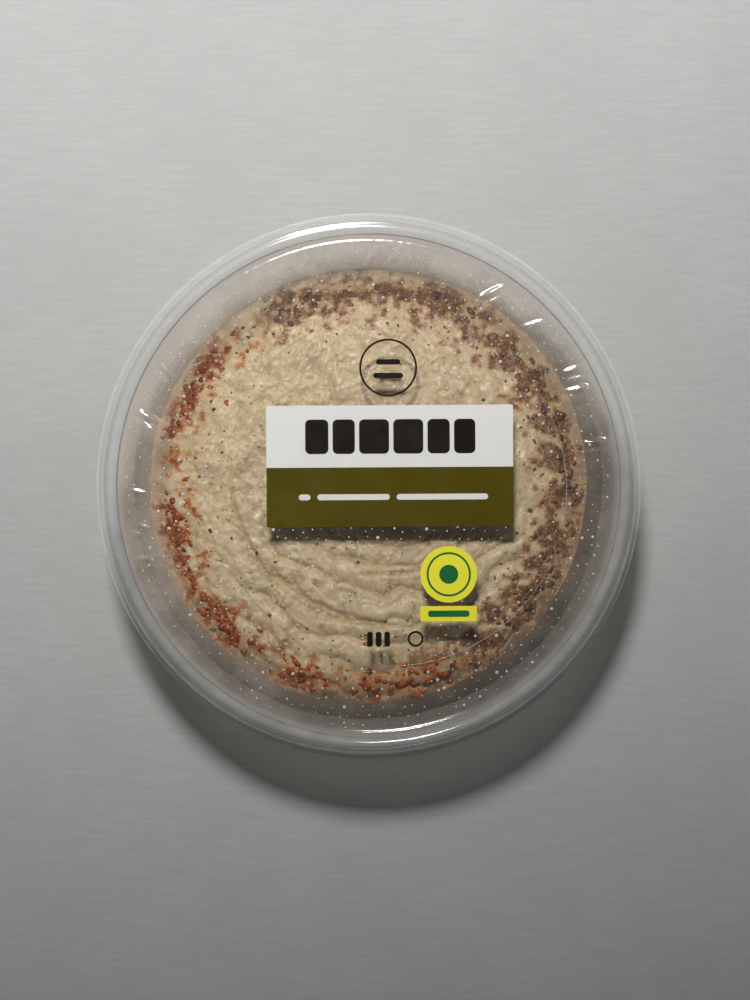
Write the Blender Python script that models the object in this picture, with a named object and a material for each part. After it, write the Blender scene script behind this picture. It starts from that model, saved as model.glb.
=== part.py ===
"""A shut round deli tub of hummus with an olive and tomato relish.

A clear thin-walled tub holds a swirled mound of hummus. Clumps of chopped relish lie round the
mound's shoulder. A sealing film is welded to the tub's flange, and a clear press-on lid covers
the film and grips the flange.

Frame: +Z up, the origin at the centre of the tub's foot, on the table. Lengths in the constants
are millimetres, and MM turns them into metres. Angles run counter-clockwise from +X, in degrees.
"""

import math

import bmesh
import bpy
import numpy as np

MM = 0.001
SEGMENTS = 48                 # facets round every turned piece
ARC_FACET = 1.6               # longest facet along a rounded corner
GAP = 0.3                     # clearance between neighbouring solids

# Tub
TUB_WALL = 0.7                # sheet thickness
FLANGE_TOP = 37.5             # height of the sealing face
FLANGE_RADIUS = 58.5
MOUTH_RADIUS = 53.9           # inner edge of the flange
WALL_DRAFT = math.radians(18.0)
FOOT_CORNER_RADIUS = 3.9      # between the foot and the wall
MOUTH_CORNER_RADIUS = 1.0     # between the wall and the flange
PUSH_UP_RADIUS = 30.0         # raised middle of the base
PUSH_UP_HEIGHT = 1.2

# Sealing film
FILM_RADIUS = 55.7
FILM_THICKNESS = 0.3

# Lid
LID_WALL = 0.4                # sheet thickness
LID_PANEL_RADIUS = 54.2       # bottom corner of the recess
LID_BEAD_INNER = 56.3         # inner top corner of the stacking bead
LID_BEAD_OUTER = 57.3         # outer top corner of the stacking bead
LID_BEAD_RISE = 2.2           # bead top above the panel
LID_SHOULDER = 58.5           # foot of the bead's outer wall
LID_SKIRT_TOP = 59.15
LID_SKIRT_BOTTOM = 59.7
LID_LIP_RADIUS = 60.7         # outer edge of the turned-out lip
LID_SHOULDER_DROP = 0.75      # shoulder below the panel
LID_SHOULDER_STEP = 0.25      # fall of the shoulder's small ledge
LID_SKIRT_DROP = 5.5          # skirt bottom below the panel
LID_LIP_DROP = 5.8            # lip edge below the panel

# Hummus
MOUND_TOP = 31.2              # crown of the mound, some 7 mm under the film
MOUND_EDGE = 23.3             # where the mound meets the wall
MOUND_EDGE_WAVE = 0.5         # uneven rise and fall of that line
MOUND_POWER = 4.5             # high power: flat crown and a steep shoulder
MOUND_RINGS = 15
FLOOR_MARGIN = 4.0            # the wall's lower rings stop this far under the edge
SWIRL_DEPTH = 0.55            # half the depth of the spoon strokes
SWIRL_PITCH = 12.0            # distance between strokes
SWIRL_CENTRE = (6.0, -4.0)    # the strokes turn about a point off the tub's centre
LUMP_HEIGHT = 0.25

# Relish clumps: name, centre angle, length along the ring, width across it, thickness
CLUMP_RADIUS = 44.8           # distance of the clumps' middles from the axis
CLUMP_RINGS = 3
CLUMP_SEGMENTS = 14
CLUMP_WAVE = 0.12             # unevenness of the outline, as a share of its size
CLUMP_BUMPS = 0.25            # unevenness of the top, as a share of its height
CLUMPS = (
    ("relish_olive_top_left", 113.0, 13.0, 7.0, 1.5),
    ("relish_olive_top_right", 66.0, 14.5, 7.2, 1.7),
    ("relish_olive_right_upper", 35.0, 25.0, 6.6, 1.3),
    ("relish_olive_right", -1.0, 24.0, 6.8, 1.4),
    ("relish_olive_right_lower", -35.0, 26.0, 7.2, 1.4),
    ("relish_tomato_bottom", 280.0, 28.0, 6.6, 1.3),
    ("relish_tomato_bottom_left", 250.0, 14.0, 6.4, 1.2),
    ("relish_tomato_lower_left", 222.0, 17.0, 7.0, 1.5),
    ("relish_tomato_left", 195.0, 23.0, 6.6, 1.4),
    ("relish_tomato_left_middle", 161.5, 8.5, 6.4, 1.3),
    ("relish_tomato_left_upper", 144.0, 18.0, 7.0, 1.4),
)

# Looks: colour, roughness and transparency of each finish
FINISHES = {
    "clear_tub": ((0.86, 0.88, 0.87), 0.08, 0.30),
    "clear_lid": ((0.90, 0.92, 0.91), 0.06, 0.25),
    "sealing_film": ((0.84, 0.81, 0.77), 0.15, 0.35),
    "hummus": ((0.56, 0.44, 0.29), 0.55, 1.0),
    "olive_relish": ((0.19, 0.09, 0.05), 0.45, 1.0),
    "tomato_relish": ((0.36, 0.10, 0.03), 0.45, 1.0),
}


def finish(name):
    """Returns the Principled material of one finish, making it on first use."""
    material = bpy.data.materials.get(name)
    if material is None:
        colour, roughness, alpha = FINISHES[name]
        material = bpy.data.materials.new(name)
        material.use_nodes = True
        shader = material.node_tree.nodes["Principled BSDF"]
        shader.inputs["Base Color"].default_value = (*colour, 1.0)
        shader.inputs["Roughness"].default_value = roughness
        shader.inputs["Metallic"].default_value = 0.0
        shader.inputs["Alpha"].default_value = alpha
    return material


def add_object(name, mesh, finish_name, sharp_angle=30.0):
    """Links a mesh as a named, smooth-shaded object with its finish."""
    mesh.shade_smooth()
    mesh.set_sharp_from_angle(angle=math.radians(sharp_angle))
    piece = bpy.data.objects.new(name, mesh)
    piece.data.materials.append(finish(finish_name))
    bpy.context.scene.collection.objects.link(piece)
    return piece


# ---------------------------------------------------------------- turned sheet pieces

def rounded_path(corners):
    """Returns the (r, z) path through corners (r, z, radius), each radius a tangent arc."""
    path = [np.array(corners[0][:2])]
    for before, corner, after in zip(corners, corners[1:], corners[2:]):
        here = np.array(corner[:2])
        radius = corner[2]
        into = np.array(before[:2]) - here
        out = np.array(after[:2]) - here
        into = into / np.linalg.norm(into)
        out = out / np.linalg.norm(out)
        half = 0.5 * math.acos(float(np.clip(into @ out, -1.0, 1.0)))
        start = here + into * radius / math.tan(half)
        end = here + out * radius / math.tan(half)
        bisector = (into + out) / np.linalg.norm(into + out)
        centre = here + bisector * radius / math.sin(half)
        first = math.atan2(*(start - centre)[::-1])
        sweep = math.atan2(*(end - centre)[::-1]) - first
        sweep = (sweep + math.pi) % (2.0 * math.pi) - math.pi
        steps = math.ceil(abs(sweep) * radius / ARC_FACET)
        for step in range(steps + 1):
            angle = first + sweep * step / steps
            path.append(centre + radius * np.array((math.cos(angle), math.sin(angle))))
    path.append(np.array(corners[-1][:2]))
    return np.array(path)


def offset_path(path, distance):
    """Returns the path moved sideways, to the left of its direction, mitred at its corners.

    A first point on the axis stays on the axis.
    """
    along = np.diff(path, axis=0)
    along /= np.linalg.norm(along, axis=1)[:, None]
    left = np.column_stack((-along[:, 1], along[:, 0]))
    before = np.vstack((left[:1], left))
    after = np.vstack((left, left[-1:]))
    mitre = before + after
    mitre /= np.sum(mitre * before, axis=1)[:, None]
    moved = path + mitre * distance
    if path[0, 0] < 1e-9:
        moved[0] = (0.0, path[0, 1] + distance)
    return moved


def spin_section(name, section):
    """Returns the mesh made by spinning a section round Z; it starts and ends on the axis."""
    shell = bmesh.new()
    rail = [shell.verts.new((r * MM, 0.0, z * MM)) for r, z in section]
    edges = [shell.edges.new(pair) for pair in zip(rail, rail[1:])]
    bmesh.ops.spin(shell, geom=rail + edges, axis=(0.0, 0.0, 1.0), cent=(0.0, 0.0, 0.0),
                   steps=SEGMENTS, angle=2.0 * math.pi, use_merge=True)
    bmesh.ops.remove_doubles(shell, verts=shell.verts, dist=1e-6)
    bmesh.ops.dissolve_degenerate(shell, dist=1e-7, edges=shell.edges)
    bmesh.ops.recalc_face_normals(shell, faces=shell.faces)
    mesh = bpy.data.meshes.new(name)
    shell.to_mesh(mesh)
    shell.free()
    return mesh


def turned_sheet(name, midline, thickness, finish_name):
    """Adds a formed sheet: a midline from the axis to a free edge, thickened to both sides."""
    under = offset_path(midline, -0.5 * thickness)
    over = offset_path(midline, 0.5 * thickness)
    section = np.vstack((under, over[::-1]))
    return add_object(name, spin_section(name, section), finish_name)


def wall_radius(height):
    """Returns the radius of the tub's inner wall at a height above the foot's corner."""
    return MOUTH_RADIUS - (FLANGE_TOP - height) * math.tan(WALL_DRAFT)


def tub_midline():
    """Returns the middle of the tub's sheet, from the base's centre to the flange's edge."""
    half = 0.5 * TUB_WALL
    outset = half / math.cos(WALL_DRAFT)
    return rounded_path((
        (0.0, PUSH_UP_HEIGHT + half),
        (PUSH_UP_RADIUS, PUSH_UP_HEIGHT + half, 1.5),
        (PUSH_UP_RADIUS + 2.0, half, 1.5),
        (wall_radius(half) + outset, half, FOOT_CORNER_RADIUS),
        (wall_radius(FLANGE_TOP - half) + outset, FLANGE_TOP - half, MOUTH_CORNER_RADIUS),
        (FLANGE_RADIUS, FLANGE_TOP - half),
    ))


def build_tub():
    """Adds the clear tub."""
    return turned_sheet("tub", tub_midline(), TUB_WALL, "clear_tub")


def build_film():
    """Adds the sealing film, a thin disc welded across the flange."""
    low = FLANGE_TOP + GAP
    high = low + FILM_THICKNESS
    section = ((0.0, low), (FILM_RADIUS, low), (FILM_RADIUS, high), (0.0, high))
    return add_object("seal_film", spin_section("seal_film", section), "sealing_film")


def build_lid():
    """Adds the press-on lid: sunk panel, stacking bead, shoulder, skirt and turned-out lip."""
    panel = FLANGE_TOP + GAP + FILM_THICKNESS + GAP + 0.5 * LID_WALL
    midline = rounded_path((
        (0.0, panel),
        (LID_PANEL_RADIUS, panel, 0.5),
        (LID_BEAD_INNER, panel + LID_BEAD_RISE, 0.4),
        (LID_BEAD_OUTER, panel + LID_BEAD_RISE, 0.4),
        (LID_SHOULDER, panel - LID_SHOULDER_DROP + LID_SHOULDER_STEP, 0.2),
        (LID_SKIRT_TOP, panel - LID_SHOULDER_DROP, 0.2),
        (LID_SKIRT_BOTTOM, panel - LID_SKIRT_DROP, 0.4),
        (LID_LIP_RADIUS, panel - LID_LIP_DROP),
    ))
    return turned_sheet("lid", midline, LID_WALL, "clear_lid")


# ---------------------------------------------------------------- the mound and its relish

def edge_height(angle):
    """Returns the height of the line where the mound meets the wall, by angle."""
    wave = np.sin(2.0 * angle + 0.6) + 0.5 * np.sin(5.0 * angle - 1.1)
    return MOUND_EDGE + MOUND_EDGE_WAVE * wave


def mound_height(r, angle):
    """Returns the mound's height: a flat-topped dome, spoon strokes and low lumps.

    The dome is the edge height plus the rise times one minus the relative radius to a high
    power. The strokes are a sine of the distance from the swirl's own centre, turned slowly
    into a spiral by the angle, and they fade towards the shoulder.
    """
    edge = edge_height(angle)
    reach = np.clip(r / wall_radius(edge), 0.0, 1.0)
    dome = edge + (MOUND_TOP - edge) * (1.0 - reach ** MOUND_POWER)
    x = r * np.cos(angle) - SWIRL_CENTRE[0]
    y = r * np.sin(angle) - SWIRL_CENTRE[1]
    turn = np.hypot(x, y) / SWIRL_PITCH - np.arctan2(y, x) / (2.0 * np.pi)
    fade = np.clip(1.0 - reach ** 3, 0.0, 1.0)
    strokes = SWIRL_DEPTH * fade * (np.sin(2.0 * np.pi * turn) - 1.0)
    lumps = LUMP_HEIGHT * fade * np.sin(0.31 * x + 1.7) * np.sin(0.27 * y - 0.4)
    return dome + strokes + lumps


def mound_rings():
    """Returns the hummus's rings, (radii, heights) by angle, from the base up and over the top.

    Below, they follow the tub's inner form at the clearance; above, they are the mound.
    """
    angles = np.arange(SEGMENTS) * 2.0 * np.pi / SEGMENTS
    inner = offset_path(tub_midline(), 0.5 * TUB_WALL + GAP)
    floor = inner[(inner[:, 0] > 0.0) & (inner[:, 1] < MOUND_EDGE - FLOOR_MARGIN)]
    rings = [(np.full(SEGMENTS, r), np.full(SEGMENTS, z)) for r, z in floor]
    edge_radius = wall_radius(edge_height(angles)) - GAP / math.cos(WALL_DRAFT)
    for share in np.linspace(1.0, 0.0, MOUND_RINGS, endpoint=False):
        rings.append((edge_radius * share, mound_height(edge_radius * share, angles)))
    return angles, inner[0, 1], rings


def build_hummus():
    """Adds the hummus: the tub's inner form below, the swirled mound above."""
    angles, base_height, rings = mound_rings()
    points = [np.column_stack((r * np.cos(angles), r * np.sin(angles), z)) for r, z in rings]
    crown = mound_height(np.zeros(1), np.zeros(1))[0]
    poles = np.array(((0.0, 0.0, base_height), (0.0, 0.0, crown)))
    vertices = np.vstack(points + [poles]) * MM
    base_pole = len(rings) * SEGMENTS
    last = base_pole - SEGMENTS
    faces = []
    for step in range(SEGMENTS):
        following = (step + 1) % SEGMENTS
        faces.append((base_pole, following, step))
        faces.append((last + step, last + following, base_pole + 1))
        for low in range(0, last, SEGMENTS):
            high = low + SEGMENTS
            faces.append((low + step, low + following, high + following, high + step))
    mesh = bpy.data.meshes.new("hummus")
    mesh.from_pydata(vertices.tolist(), [], faces)
    return add_object("hummus", mesh, "hummus", sharp_angle=50.0)


def clump_layers(centre_angle, length, width, thickness):
    """Returns a clump's underside and top, each CLUMP_RINGS rings of points from inside out.

    The outline is an ellipse with a wavy edge, in distance along the ring and across it. The
    underside follows the mound at the clearance, and the top rises above it as a low dome.
    """
    middle_angle = math.radians(centre_angle)
    around = np.arange(CLUMP_SEGMENTS) * 2.0 * np.pi / CLUMP_SEGMENTS
    outline = 1.0 - CLUMP_WAVE * (1.0 + np.sin(3.0 * around + 5.0 * middle_angle))
    bumps = 1.0 + CLUMP_BUMPS * np.sin(4.0 * around + 3.0 * middle_angle)
    under = []
    over = []
    for ring in range(1, CLUMP_RINGS + 1):
        share = ring / CLUMP_RINGS
        radius = CLUMP_RADIUS - 0.5 * width * share * outline * np.sin(around)
        along = 0.5 * length * share * outline * np.cos(around)
        angle = middle_angle + along / CLUMP_RADIUS
        plan = np.column_stack((radius * np.cos(angle), radius * np.sin(angle)))
        rest = mound_height(radius, angle) + GAP
        under.append(np.column_stack((plan, rest)))
        rise = thickness * math.sqrt(1.0 - share ** 2) * bumps
        over.append(np.column_stack((plan, rest + rise)))
    return under, over


def lens_faces(rings, pole, flipped):
    """Returns the faces of one side of a lens: a fan round its pole, then bands of quads.

    rings holds each ring's first vertex from inside out. flipped turns the faces downwards.
    """
    faces = []
    for step in range(CLUMP_SEGMENTS):
        following = (step + 1) % CLUMP_SEGMENTS
        faces.append((pole, rings[0] + following, rings[0] + step))
        for near, far in zip(rings, rings[1:]):
            faces.append((near + step, near + following, far + following, far + step))
    return [face[::-1] for face in faces] if flipped else faces


def build_clump(name, centre_angle, length, width, thickness):
    """Adds one relish clump: an uneven lens bent along the ring, lying on the mound."""
    under, over = clump_layers(centre_angle, length, width, thickness)
    middle_angle = math.radians(centre_angle)
    plan = CLUMP_RADIUS * np.array((math.cos(middle_angle), math.sin(middle_angle)))
    rest = mound_height(np.array([CLUMP_RADIUS]), np.array([middle_angle]))[0] + GAP
    poles = np.array(((*plan, rest), (*plan, rest + thickness)))
    vertices = np.vstack(under + over[:-1] + [poles]) * MM
    firsts = [ring * CLUMP_SEGMENTS for ring in range(2 * CLUMP_RINGS - 1)]
    under_rings = firsts[:CLUMP_RINGS]
    over_rings = firsts[CLUMP_RINGS:] + [under_rings[-1]]
    low_pole = len(vertices) - 2
    faces = lens_faces(under_rings, low_pole, False) + lens_faces(over_rings, low_pole + 1, True)
    mesh = bpy.data.meshes.new(name)
    mesh.from_pydata(vertices.tolist(), [], faces)
    kind = "olive_relish" if "olive" in name else "tomato_relish"
    return add_object(name, mesh, kind, sharp_angle=60.0)


def main():
    """Clears the scene and adds every piece."""
    for stray in list(bpy.data.objects):
        bpy.data.objects.remove(stray)
    build_tub()
    build_hummus()
    for clump in CLUMPS:
        build_clump(*clump)
    build_film()
    build_lid()


main()
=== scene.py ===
"""Looks of a sealed round tub of hummus with olive and tomato relish.

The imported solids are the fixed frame. Each class below is one sub-assembly: it holds its sizes,
works its surfaces out on numpy grids and dresses them. Sizes are millimetres in the tub's own
frame, with +Z up and the origin at the centre of the foot, and MM turns them into metres.
"""

import logging
import math
from dataclasses import dataclass, field
from enum import Enum

import bpy
import numpy as np
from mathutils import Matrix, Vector


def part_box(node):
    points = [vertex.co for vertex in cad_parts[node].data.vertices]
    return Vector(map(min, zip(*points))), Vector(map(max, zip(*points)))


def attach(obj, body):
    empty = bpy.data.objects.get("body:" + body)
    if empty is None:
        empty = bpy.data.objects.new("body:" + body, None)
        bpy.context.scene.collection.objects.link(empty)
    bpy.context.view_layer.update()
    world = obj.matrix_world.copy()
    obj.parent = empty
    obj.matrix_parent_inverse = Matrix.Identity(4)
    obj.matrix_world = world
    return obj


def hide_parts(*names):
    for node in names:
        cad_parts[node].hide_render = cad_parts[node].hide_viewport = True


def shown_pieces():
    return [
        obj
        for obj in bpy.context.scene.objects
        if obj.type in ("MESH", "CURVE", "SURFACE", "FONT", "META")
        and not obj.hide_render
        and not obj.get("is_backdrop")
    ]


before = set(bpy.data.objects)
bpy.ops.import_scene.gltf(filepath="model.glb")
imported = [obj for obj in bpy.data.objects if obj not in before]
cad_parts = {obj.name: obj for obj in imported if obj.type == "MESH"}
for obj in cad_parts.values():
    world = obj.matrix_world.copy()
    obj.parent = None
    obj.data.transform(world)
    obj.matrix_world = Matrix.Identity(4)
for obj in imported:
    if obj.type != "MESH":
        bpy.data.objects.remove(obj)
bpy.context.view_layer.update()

MM = 0.001
BODY = "root"
LOG = logging.getLogger("hummus_tub")
TURN = 2.0 * np.pi


# ------------------------------------------------------------------ numbers and colours

def srgb(red: int, green: int, blue: int) -> tuple[float, float, float]:
    """Turns an 8-bit screen colour into linear light.

    Args:
        red, green, blue: the colour as it looks on a screen, 0 to 255.

    Returns:
        The same colour as three linear values from 0 to 1.
    """
    shares = np.array((red, green, blue)) / 255.0
    linear = np.where(shares <= 0.04045, shares / 12.92, ((shares + 0.055) / 1.055) ** 2.4)
    return tuple(float(value) for value in linear)


def smooth_step(value: np.ndarray, low: float, high: float) -> np.ndarray:
    """Rises smoothly from 0 at low to 1 at high: 3t^2 - 2t^3 of the clipped share t."""
    share = np.clip((value - low) / (high - low), 0.0, 1.0)
    return share * share * (3.0 - 2.0 * share)


def angle_apart(angle: np.ndarray, middle: float) -> np.ndarray:
    """The signed distance between angles, wrapped to within half a turn either way."""
    return (angle - middle + np.pi) % TURN - np.pi


@dataclass(frozen=True)
class PlaneNoise:
    """Smooth gradient noise on the plane, about -1 to 1, summed over octaves.

    Each lattice point has a random direction. The value between four points is the smooth blend
    of each direction's dot product with the offset from its point.
    """

    seed: int
    cell: float
    octaves: int = 1
    table: int = 128

    def __call__(self, x: np.ndarray, y: np.ndarray) -> np.ndarray:
        """Args: x, y: places in millimetres. Returns: the noise there."""
        total = np.zeros(np.shape(x))
        for octave in range(self.octaves):
            turns = np.random.default_rng(self.seed + octave).random((self.table,) * 2) * TURN
            total += self._layer(x, y, turns, self.cell / 2 ** octave) * 0.5 ** octave
        return total * 1.4

    def _layer(self, x: np.ndarray, y: np.ndarray, turns: np.ndarray, cell: float) -> np.ndarray:
        """One octave of the noise, from a table of lattice directions.

        Args:
            x: Places to the right of the axis, in mm.
            y: Places towards the top of the print, in mm.
            turns: Table of the lattice's directions, as angles.
            cell: Step of the lattice.

        Returns:
            The octave at each place.
        """
        u, v = x / cell, y / cell
        column, row = np.floor(u).astype(int), np.floor(v).astype(int)
        du, dv = u - column, v - row
        blend_u = du ** 3 * (du * (du * 6.0 - 15.0) + 10.0)
        blend_v = dv ** 3 * (dv * (dv * 6.0 - 15.0) + 10.0)
        value = np.zeros(np.shape(x))
        for right in (0, 1):
            for up in (0, 1):
                turn = turns[(row + up) % self.table, (column + right) % self.table]
                slope = np.cos(turn) * (du - right) + np.sin(turn) * (dv - up)
                share_u = blend_u if right else 1.0 - blend_u
                share_v = blend_v if up else 1.0 - blend_v
                value += slope * share_u * share_v
        return value


@dataclass(frozen=True)
class CellNoise:
    """Scattered seeds on the plane, one to a cell, each with its own random number."""

    seed: int
    cell: float
    table: int = 128

    def nearest(self, x: np.ndarray, y: np.ndarray) -> tuple[np.ndarray, np.ndarray]:
        """Finds the nearest seed.

        Args:
            x, y: places in millimetres.

        Returns:
            The distance to the nearest seed in cells, and that seed's random number.
        """
        draw = np.random.default_rng(self.seed)
        jitter = draw.random((2, self.table, self.table))
        number = draw.random((self.table, self.table))
        u, v = x / self.cell, y / self.cell
        column, row = np.floor(u).astype(int), np.floor(v).astype(int)
        best = np.full(np.shape(x), 9.0)
        label = np.zeros(np.shape(x))
        for across in (-1, 0, 1):
            for up in (-1, 0, 1):
                i, j = (row + up) % self.table, (column + across) % self.table
                away = np.hypot(column + across + jitter[0][i, j] - u,
                                row + up + jitter[1][i, j] - v)
                closer = away < best
                best = np.where(closer, away, best)
                label = np.where(closer, number[i, j], label)
        return best, label


# ------------------------------------------------------------------ meshes from arrays

def add_piece(name: str, points: np.ndarray, faces: list, finish: bpy.types.Material,
              replaced: tuple[str, ...] = (), sharp: float = 180.0) -> bpy.types.Object:
    """Makes one piece of the object and hangs it on its body.

    Args:
        name: the piece's name.
        points: the vertices, (count, 3), in millimetres.
        faces: index arrays, each (count, corners).
        finish: the piece's material.
        replaced: the solids that the piece stands for.
        sharp: the angle in degrees past which an edge stays hard.

    Returns:
        The new object.
    """
    mesh = bpy.data.meshes.new(name)
    corners = [row for group in faces for row in np.asarray(group).tolist()]
    mesh.from_pydata((np.asarray(points, float) * MM).tolist(), [], corners)
    mesh.shade_smooth()
    if sharp < 180.0:
        mesh.set_sharp_from_angle(angle=math.radians(sharp))
    mesh.materials.append(finish)
    piece = bpy.data.objects.new(name, mesh)
    bpy.context.scene.collection.objects.link(piece)
    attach(piece, BODY)
    if replaced:
        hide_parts(*replaced)
    return piece


def paint(piece: bpy.types.Object, name: str, values: np.ndarray) -> None:
    """Stores one number per vertex as a named attribute, for the finish to read."""
    layer = piece.data.attributes.new(name, "FLOAT", "POINT")
    layer.data.foreach_set("value", np.asarray(values, np.float32).ravel())


def ring_faces(rows: int, count: int, start: int = 0) -> np.ndarray:
    """Quads between rings of count points each, the rings following one another from start."""
    row, step = np.meshgrid(np.arange(rows - 1), np.arange(count), indexing="ij")
    here = start + row * count + step
    beside = start + row * count + (step + 1) % count
    return np.stack((here, beside, beside + count, here + count), -1).reshape(-1, 4)


def fan_faces(pole: int, first: int, count: int, flipped: bool) -> np.ndarray:
    """Triangles from a pole to the ring that starts at first."""
    step = np.arange(count)
    beside = first + (step + 1) % count
    fan = np.stack((np.full(count, pole), first + step, beside), -1)
    return fan[:, ::-1] if flipped else fan


def turned(section: np.ndarray, segments: int) -> tuple[np.ndarray, list]:
    """Turns a closed section round Z.

    Args:
        section: (r, z) rows that start and end on the axis, underside first, outer edge next.
        segments: points round each ring.

    Returns:
        The points (count, 3) and the face groups. A ring's points are
        (r cos a, r sin a, z), and the two ends are single points on the axis.
    """
    angles = np.arange(segments) * TURN / segments
    r, z = section[1:-1, 0][:, None], section[1:-1, 1][:, None]
    rings = np.stack((r * np.cos(angles), r * np.sin(angles), z + 0.0 * angles), -1)
    poles = np.array(((0.0, 0.0, section[0, 1]), (0.0, 0.0, section[-1, 1])))
    points = np.vstack((rings.reshape(-1, 3), poles))
    rows = len(section) - 2
    pole = rows * segments
    faces = [ring_faces(rows, segments), fan_faces(pole, 0, segments, True),
             fan_faces(pole + 1, pole - segments, segments, False)]
    return points, faces


def rounded_path(corners: list, facet: float) -> np.ndarray:
    """Rounds the corners of a path with tangent arcs.

    Args:
        corners: (r, z) ends and (r, z, radius) corners.
        facet: the longest step along an arc.

    Returns:
        The path's (r, z) points. An arc's centre lies on the corner's bisector at
        radius / sin(half the corner's angle).
    """
    path = [np.array(corners[0][:2], float)]
    for before, corner, after in zip(corners, corners[1:], corners[2:]):
        here, radius = np.array(corner[:2], float), corner[2]
        into, out = np.array(before[:2]) - here, np.array(after[:2]) - here
        into, out = into / np.linalg.norm(into), out / np.linalg.norm(out)
        half = 0.5 * math.acos(float(np.clip(into @ out, -1.0, 1.0)))
        start, end = (here + side * radius / math.tan(half) for side in (into, out))
        centre = here + (into + out) / np.linalg.norm(into + out) * radius / math.sin(half)
        first = math.atan2(start[1] - centre[1], start[0] - centre[0])
        last = math.atan2(end[1] - centre[1], end[0] - centre[0])
        sweep = (last - first + math.pi) % (2.0 * math.pi) - math.pi
        steps = max(2, math.ceil(abs(sweep) * radius / facet))
        bend = first + sweep * np.arange(steps + 1) / steps
        path.extend(centre + radius * np.column_stack((np.cos(bend), np.sin(bend))))
    path.append(np.array(corners[-1][:2], float))
    return np.array(path)


def offset_path(path: np.ndarray, distance: float) -> np.ndarray:
    """The path moved to the left of its direction, mitred; a point on the axis stays on it.

    Args:
        path: Points of the line, as rows of radius and height in mm.
        distance: How far to move it, in mm.

    Returns:
        The moved path.
    """
    along = np.diff(path, axis=0)
    along /= np.linalg.norm(along, axis=1)[:, None]
    left = np.column_stack((-along[:, 1], along[:, 0]))
    before, after = np.vstack((left[:1], left)), np.vstack((left, left[-1:]))
    mitre = before + after
    mitre /= np.sum(mitre * before, axis=1)[:, None]
    moved = path + mitre * distance
    if path[0, 0] < 1e-9:
        moved[0] = (0.0, path[0, 1] + distance)
    return moved


def sheet_section(midline: np.ndarray, thickness: float) -> np.ndarray:
    """The closed section of a formed sheet, its free edge rounded by a half circle.

    Args:
        midline: Middle of the sheet, from the axis to its free edge, in mm.
        thickness: Thickness of the sheet, in mm.

    Returns:
        The points of the closed section.
    """
    half = 0.5 * thickness
    under, over = offset_path(midline, -half), offset_path(midline, half)
    run = midline[-1] - midline[-2]
    heading = math.atan2(run[1], run[0])
    bend = heading - 0.5 * np.pi + np.pi * np.arange(1, 6) / 6.0
    edge = midline[-1] + half * np.column_stack((np.cos(bend), np.sin(bend)))
    return np.vstack((under, edge, over[::-1]))


# ------------------------------------------------------------------ node graphs

Feed = bpy.types.NodeSocket | float | tuple


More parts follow.
